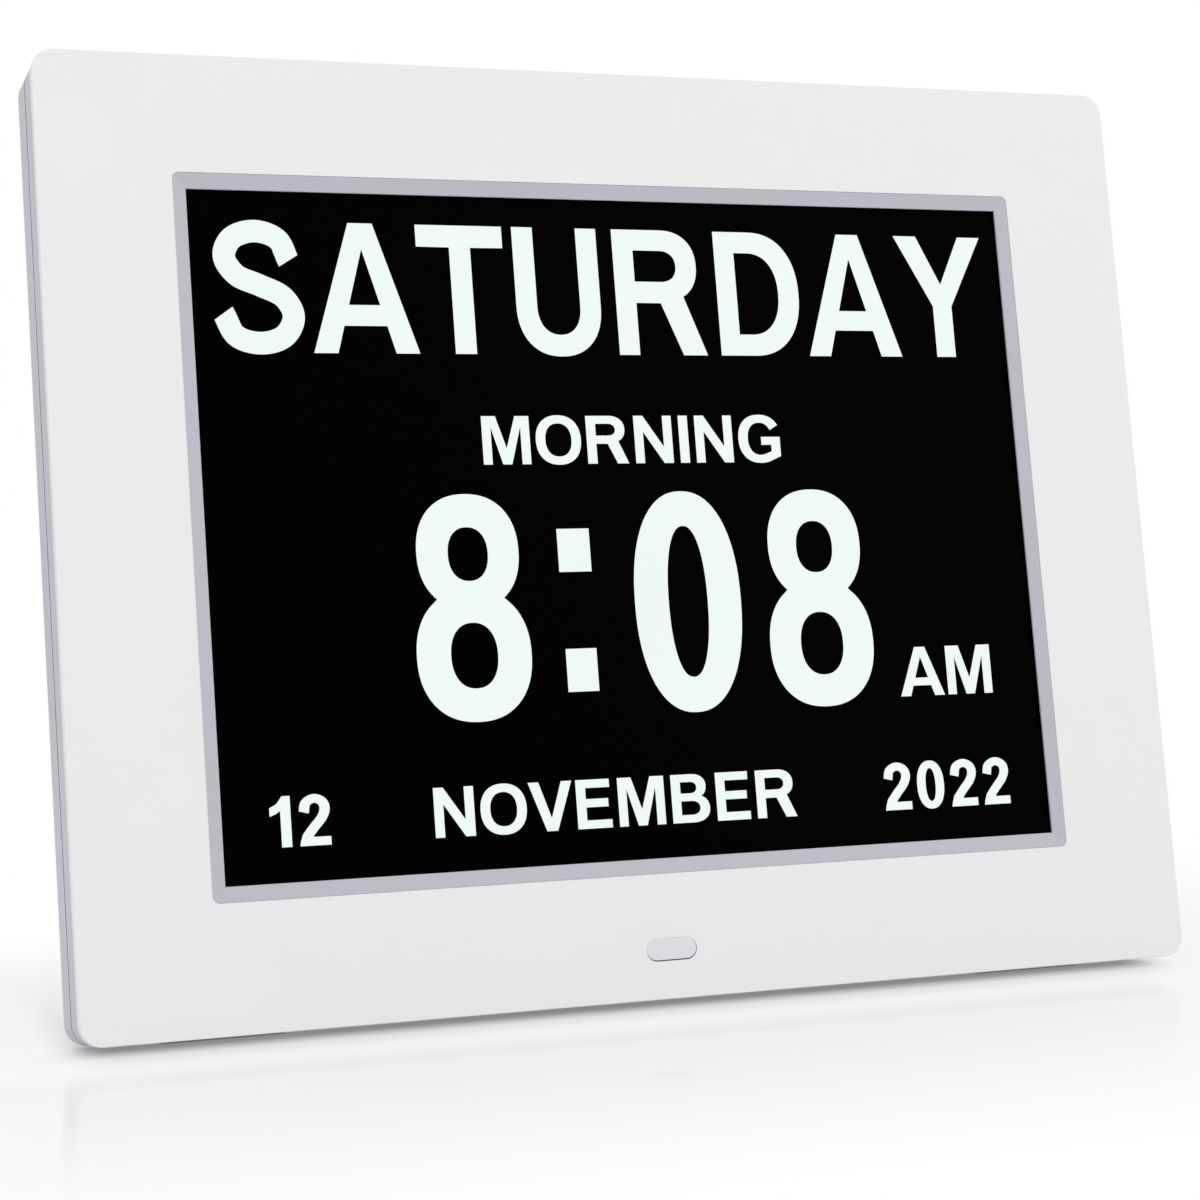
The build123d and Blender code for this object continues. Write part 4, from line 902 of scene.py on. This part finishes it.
class CLOCK_OT_pill_window(bpy.types.Operator):
    """Milky pill-shaped window of the remote sensor, a little crowned, up and left in its hole"""

    bl_idname = "clock.pill_window"
    bl_label = "Pill window"

    def execute(self, context):
        face = context.scene.clock_face
        proud = 0.2 * MM
        edge = 0.15 * MM
        crown = 0.05 * MM
        flange = 1.2 * MM
        flange_thickness = 0.8 * MM
        lie = np.array((-0.9, 0.9)) * PILL_CLEARANCE
        innermost = 0.9
        spread = np.linspace(innermost, 0.0, CROWN_ROWS)[:-1]
        top_insets = edge + (face.pill_width / 2 - edge) * spread
        top_depths = -proud - crown * spread**0.5
        round_insets, round_depths = quarter_round(edge)
        insets = np.concatenate((top_insets, round_insets, (0.0, -flange, -flange)))
        web = (WEB_DEPTH, WEB_DEPTH, WEB_DEPTH + flange_thickness)
        depths = np.concatenate((top_depths, round_depths - proud, web))
        length, width = face.pill_length - 2 * insets, face.pill_width - 2 * insets
        shape = faced_solid([(slot_outlines(length, width, PILL_HEIGHT) + lie, depths)])
        glow = {"Subsurface_Weight": 0.15, "Subsurface_Scale": 0.6 * MM}
        milky = moulded_plastic("pill milky", face.pill_colour, **glow)
        add_piece("pill_window", shape, milky, "case", ("sensor_window",))
        return {"FINISHED"}


class CLOCK_OT_display(bpy.types.Operator):
    """Dark display and its lit rows: weekday, part of the day, time, day, month and year"""

    bl_idname = "clock.display"
    bl_label = "Display"

    def execute(self, context):
        display = context.scene.clock_display
        dress(dark_screen(display.screen_colour), "lcd_glass")
        glow = lit_characters(display.lit_colour)
        shapes = draw_characters()
        front, sunk = GLASS_DEPTH - display.film, GLASS_DEPTH + display.film / 5
        pieces = {}
        for row, place in ROWS.items():
            name = "display_time" if row in TIME_ROWS else f"display_{row}"
            pieces.setdefault(name, []).extend(row_outlines(getattr(display, row), place, shapes))
        pieces["display_time"] += [[rectangle(*square) * MM] for square in COLON_SQUARES]
        for name, groups in pieces.items():
            add_piece(name, thin_solids(groups, front, sunk), glow, "case")
        return {"FINISHED"}


class CLOCK_OT_case(bpy.types.Operator):
    """Finishes of the case halves, the leg, the buttons, the feet and the hinge"""

    bl_idname = "clock.case"
    bl_label = "Case and leg"

    def execute(self, context):
        case = context.scene.clock_case
        lilac = moulded_plastic("case lilac grey", case.case_colour, case.grain_size, SEAM)
        dress(lilac, "front_housing", "rear_cover", "stand_leg")
        grey = moulded_plastic("button grey", case.button_colour)
        dress(grey, *[f"button_{name}" for name in BUTTON_NAMES])
        dull = {"Specular_IOR_Level": 0.3}
        dress(moulded_plastic("rubber grey", case.rubber_colour, **dull), "leg_foot")
        dress(moulded_plastic("foot milky", case.foot_colour, **dull), "rubber_feet")
        dress(rolled_metal("screw steel", srgb(176, 176, 180)), "cover_screws")
        dress(rolled_metal("pin steel", srgb(190, 190, 194)), "hinge_pins")
        dress(moulded_plastic("washer nylon", srgb(228, 226, 214)), "friction_washers")
        return {"FINISHED"}


class CLOCK_OT_button_symbols(bpy.types.Operator):
    """Raised symbols on the back, one below each push button"""

    bl_idname = "clock.button_symbols"
    bl_label = "Button symbols"

    def execute(self, context):
        case = context.scene.clock_case
        drop = 8.4 * MM
        sunk = 0.02 * MM
        symbols = symbol_outlines()
        first = (len(BUTTON_NAMES) - 1) / 2 * BUTTON_PITCH
        scale = np.array((-case.symbol_size, case.symbol_size))
        groups = []
        for number, name in enumerate(BUTTON_NAMES):
            place = np.array((first - number * BUTTON_PITCH, BUTTON_ROW - drop))
            groups += [[loop * scale + place for loop in loops] for loops in symbols[name]]
        shape = thin_solids(groups, BODY_DEPTH - sunk, BODY_DEPTH + case.symbol_proud)
        ink = moulded_plastic("symbol grey", srgb(112, 110, 122))
        add_piece("button_symbols", shape, ink, "case")
        return {"FINISHED"}


class CLOCK_OT_inner_parts(bpy.types.Operator):
    """Finishes of the display module, the boards and their parts, the loudspeaker and the cables"""

    bl_idname = "clock.inner_parts"
    bl_label = "Inner parts"

    def execute(self, context):
        dress(rolled_metal("sheet steel", srgb(184, 186, 188)), "lcd_bezel", "lcd_clips")
        zinc = rolled_metal("zinc screws", srgb(186, 186, 184))
        dress(zinc, "clip_screws", "board_screws", "button_screws")
        dress(rolled_metal("can aluminium", srgb(206, 208, 210)), "capacitors")
        dress(rolled_metal("cell steel", srgb(198, 198, 194)), "coin_cell")
        dress(moulded_plastic("tray white", srgb(232, 232, 230)), "lcd_tray")
        dress(moulded_plastic("light strip", srgb(236, 226, 170)), "led_strip")
        dress(moulded_plastic("cone paper", srgb(64, 62, 60)), "speaker_cone")
        black = moulded_plastic("part black", srgb(34, 34, 36))
        dress(black, "ir_receiver", "main_chips", "cell_holder", "supply_socket", "tact_switches")
        dress(black, "board_connectors", "speaker_frame")
        film = moulded_plastic("cable film", srgb(206, 176, 118))
        dress(film, "display_cable", "button_cable", "speaker_cable", "sensor_cable")
        clear = moulded_plastic("guide clear", srgb(236, 240, 242), Transmission_Weight=0.8)
        dress(clear, "light_guide")
        green = circuit_board("board green", srgb(28, 92, 58))
        dress(green, "main_board", "button_board", "sensor_board")
        return {"FINISHED"}


# Stage

# Lamps: the setting of the power, and the side and the place in metres
LAMPS = {
    "key lamp": ("key_power", 1.3, (-0.75, -1.15, 1.05)),
    "fill lamp": ("fill_power", 1.2, (1.05, -0.95, 0.75)),
    "top lamp": ("top_power", 1.4, (0.0, 0.25, 1.6)),
}
SENSOR_WIDTH = 36.0
CLIP_START = 0.01
FLOOR_POINTS = 13
# Where the floor's effects start and end, in metres. The sheen grows in front of the plate and
# fades with the distance from the clock; the rendered shade is kept from behind the plate's edge
# to past its sides, and painted white light fades it out behind; the white takes over fully with
# the distance.
SHEEN_RISE = (0.0, -0.02)
SHEEN_FADE = (0.035, 0.08)
SHADE_START = (0.006, 0.0115)
SHADE_SIDES = (-0.002, 0.004)
SHADE_FADE = (0.019, 0.116)
FRONT_FADE = (-0.012, 0.0)
WHITE_FADE = (0.025, 0.1)
# Shares of painted white over the lit floor: in the shade and where it has faded, and before the
# clock
SHADE_WHITES = (0.2, 1.0)
FRONT_WHITES = (0.4, 0.7)


def white_rays(tree):
    """One for rays from the camera, mirrors and glass, which see the white surroundings."""
    path = add_node(tree, "LightPath").outputs
    seen = value_math(tree, "MAXIMUM", path["Is Camera Ray"], path["Is Glossy Ray"])
    return value_math(tree, "MAXIMUM", seen, path["Is Transmission Ray"])


def floor_finish(colour):
    """Pale floor with a mirror sheen in front of the clock, fading to plain white farther out. The
    distance from the clock is the length of (|x| - half width, |y| - half depth), each at least
    nought. Rays from the camera, mirrors and glass see a white glow mixed over the lit floor, which
    is painted light: its share is small where the case stands, so the rendered shade stays dark
    there, and it grows behind the clock and before it, which paints the shade there paler."""
    sockets = {"Roughness": 0.6, "Specular_IOR_Level": 0.1, "Coat_Roughness": 0.03, "Coat_IOR": 2.1}
    material, tree, shader = new_material("floor", Base_Color=(*colour, 1.0), **sockets)
    half_width, half_depth = PLATE_WIDTH / 2, -CORNER[1]
    place = own_place(tree)
    mirrored = vector_math(tree, "ABSOLUTE", place)[0]
    beyond = vector_math(tree, "SUBTRACT", mirrored, (half_width, half_depth, 0.0))[0]
    outside = vector_math(tree, "MAXIMUM", beyond, (0.0, 0.0, 0.0))[0]
    away = vector_math(tree, "LENGTH", outside)["Value"]
    side = add_node(tree, "SeparateXYZ", {0: beyond}).outputs["X"]
    along = add_node(tree, "SeparateXYZ", {0: place}).outputs["Y"]

    def from_edge(ends, low=0.0, high=1.0):
        start, end = (-half_depth + depth for depth in ends)
        return ramp(tree, along, start, end, low, high)

    sheen_fall = ramp(tree, away, *SHEEN_FADE, 1.0, 0.0)
    feed(tree, shader, Coat_Weight=value_math(tree, "MULTIPLY", from_edge(SHEEN_RISE), sheen_fall))
    within = ramp(tree, side, *SHADE_SIDES, 1.0, 0.0)
    shaded = value_math(tree, "MULTIPLY", from_edge(SHADE_START), within)
    before, behind = from_edge(FRONT_FADE, *FRONT_WHITES), from_edge(SHADE_FADE, *SHADE_WHITES)
    near = ramp(tree, shaded, 0.0, 1.0, before, behind)
    # painted light: this share of white glow lightens the floor's rendered shadow, least under the
    # front edge
    white = ramp(tree, away, *WHITE_FADE, near, 1.0)
    glow = add_node(tree, "Emission", {"Color": WHITE, "Strength": 1.0}).outputs[0]
    seen = value_math(tree, "MULTIPLY", white, white_rays(tree))
    mixed = add_node(tree, "MixShader", {0: seen, 1: shader.outputs[0], 2: glow})
    feed(tree, tree.nodes["Material Output"], Surface=mixed.outputs[0])
    return material


def add_floor(stage):
    """Flat floor, a square grid of points at height nought."""
    steps = np.linspace(-stage.floor_size / 2, stage.floor_size / 2, FLOOR_POINTS)
    across, along = np.meshgrid(steps, steps)
    points = np.stack((across, along, np.zeros_like(across)), -1).reshape(-1, 3)
    index = np.arange(len(points)).reshape(across.shape)
    corners = (index[:-1, :-1], index[:-1, 1:], index[1:, 1:], index[1:, :-1])
    mesh = bpy.data.meshes.new("floor")
    mesh.from_pydata(points.tolist(), [], np.stack(corners, -1).reshape(-1, 4).tolist())
    mesh.materials.append(floor_finish(stage.floor_colour))
    new_object("floor", mesh)


def add_surroundings(scene, strength):
    """World: even light of the given strength, seen as plain white."""
    world = bpy.data.worlds.new("surroundings")
    world.use_nodes = True
    tree = world.node_tree
    light = tree.nodes["Background"]
    light.inputs["Color"].default_value = WHITE
    light.inputs["Strength"].default_value = strength
    white = add_node(tree, "Background", {"Color": WHITE, "Strength": 1.0}).outputs[0]
    mixed = add_node(tree, "MixShader", {0: white_rays(tree), 1: light.outputs[0], 2: white})
    feed(tree, tree.nodes["World Output"], Surface=mixed.outputs[0])
    scene.world = world


def add_lamp(name, power, size, place):
    """Square soft lamp that looks at the middle of the clock."""
    lamp = bpy.data.lights.new(name, "AREA")
    lamp.energy = power
    lamp.size = size
    holder = new_object(name, lamp)
    holder.location = place
    target = (CAD_BOX[0] + CAD_BOX[1]) / 2
    holder.rotation_euler = (target - Vector(place)).to_track_quat("-Z", "Y").to_euler()


class CLOCK_OT_stage(bpy.types.Operator):
    """Pale floor, soft studio light, white surroundings and the camera"""

    bl_idname = "clock.stage"
    bl_label = "Stage"

    def execute(self, context):
        stage = context.scene.clock_stage
        add_floor(stage)
        add_surroundings(context.scene, stage.sky)
        for name, (power, size, place) in LAMPS.items():
            add_lamp(name, getattr(stage, power), size, place)
        camera = new_object("photo camera", bpy.data.cameras.new("photo camera"))
        camera.data.lens = stage.lens
        camera.data.sensor_width = SENSOR_WIDTH
        camera.data.clip_start = CLIP_START
        camera.location = stage.camera_place
        camera.rotation_euler = (math.pi / 2 - stage.dip, 0.0, -stage.turn)
        context.scene.camera = camera
        context.scene.view_settings.view_transform = "Standard"
        return {"FINISHED"}


class CLOCK_PT_sidebar(bpy.types.Panel):
    """Lists the clock's pieces in the order in which they are made, and their settings"""

    bl_idname = "CLOCK_PT_sidebar"
    bl_label = "Calendar clock"
    bl_space_type = "VIEW_3D"
    bl_region_type = "UI"
    bl_category = "Clock"

    def draw(self, context):
        for step in STEPS:
            self.layout.operator(step.bl_idname)
        for settings in SETTINGS:
            group = getattr(context.scene, settings)
            box = self.layout.box()
            for name in group.__annotations__:
                box.prop(group, name)


STEPS = (
    CLOCK_OT_front_plate,
    CLOCK_OT_trim_ring,
    CLOCK_OT_pill_window,
    CLOCK_OT_display,
    CLOCK_OT_case,
    CLOCK_OT_button_symbols,
    CLOCK_OT_inner_parts,
    CLOCK_OT_stage,
)
SETTINGS = {
    "clock_face": ClockFaceSettings,
    "clock_display": ClockDisplaySettings,
    "clock_case": ClockCaseSettings,
    "clock_stage": ClockStageSettings,
}


def register():
    """Registers the settings, the operators and the panel."""
    for made in (*SETTINGS.values(), *STEPS, CLOCK_PT_sidebar):
        bpy.utils.register_class(made)
    for name, settings in SETTINGS.items():
        setattr(bpy.types.Scene, name, bpy.props.PointerProperty(type=settings))


def unregister():
    """Takes everything back in the opposite order."""
    for name in SETTINGS:
        delattr(bpy.types.Scene, name)
    for made in reversed((*SETTINGS.values(), *STEPS, CLOCK_PT_sidebar)):
        bpy.utils.unregister_class(made)


def main():
    register()
    bpy.ops.clock.front_plate()
    bpy.ops.clock.trim_ring()
    bpy.ops.clock.pill_window()
    bpy.ops.clock.display()
    bpy.ops.clock.case()
    bpy.ops.clock.button_symbols()
    bpy.ops.clock.inner_parts()
    bpy.ops.clock.stage()


if __name__ == "__main__":
    main()
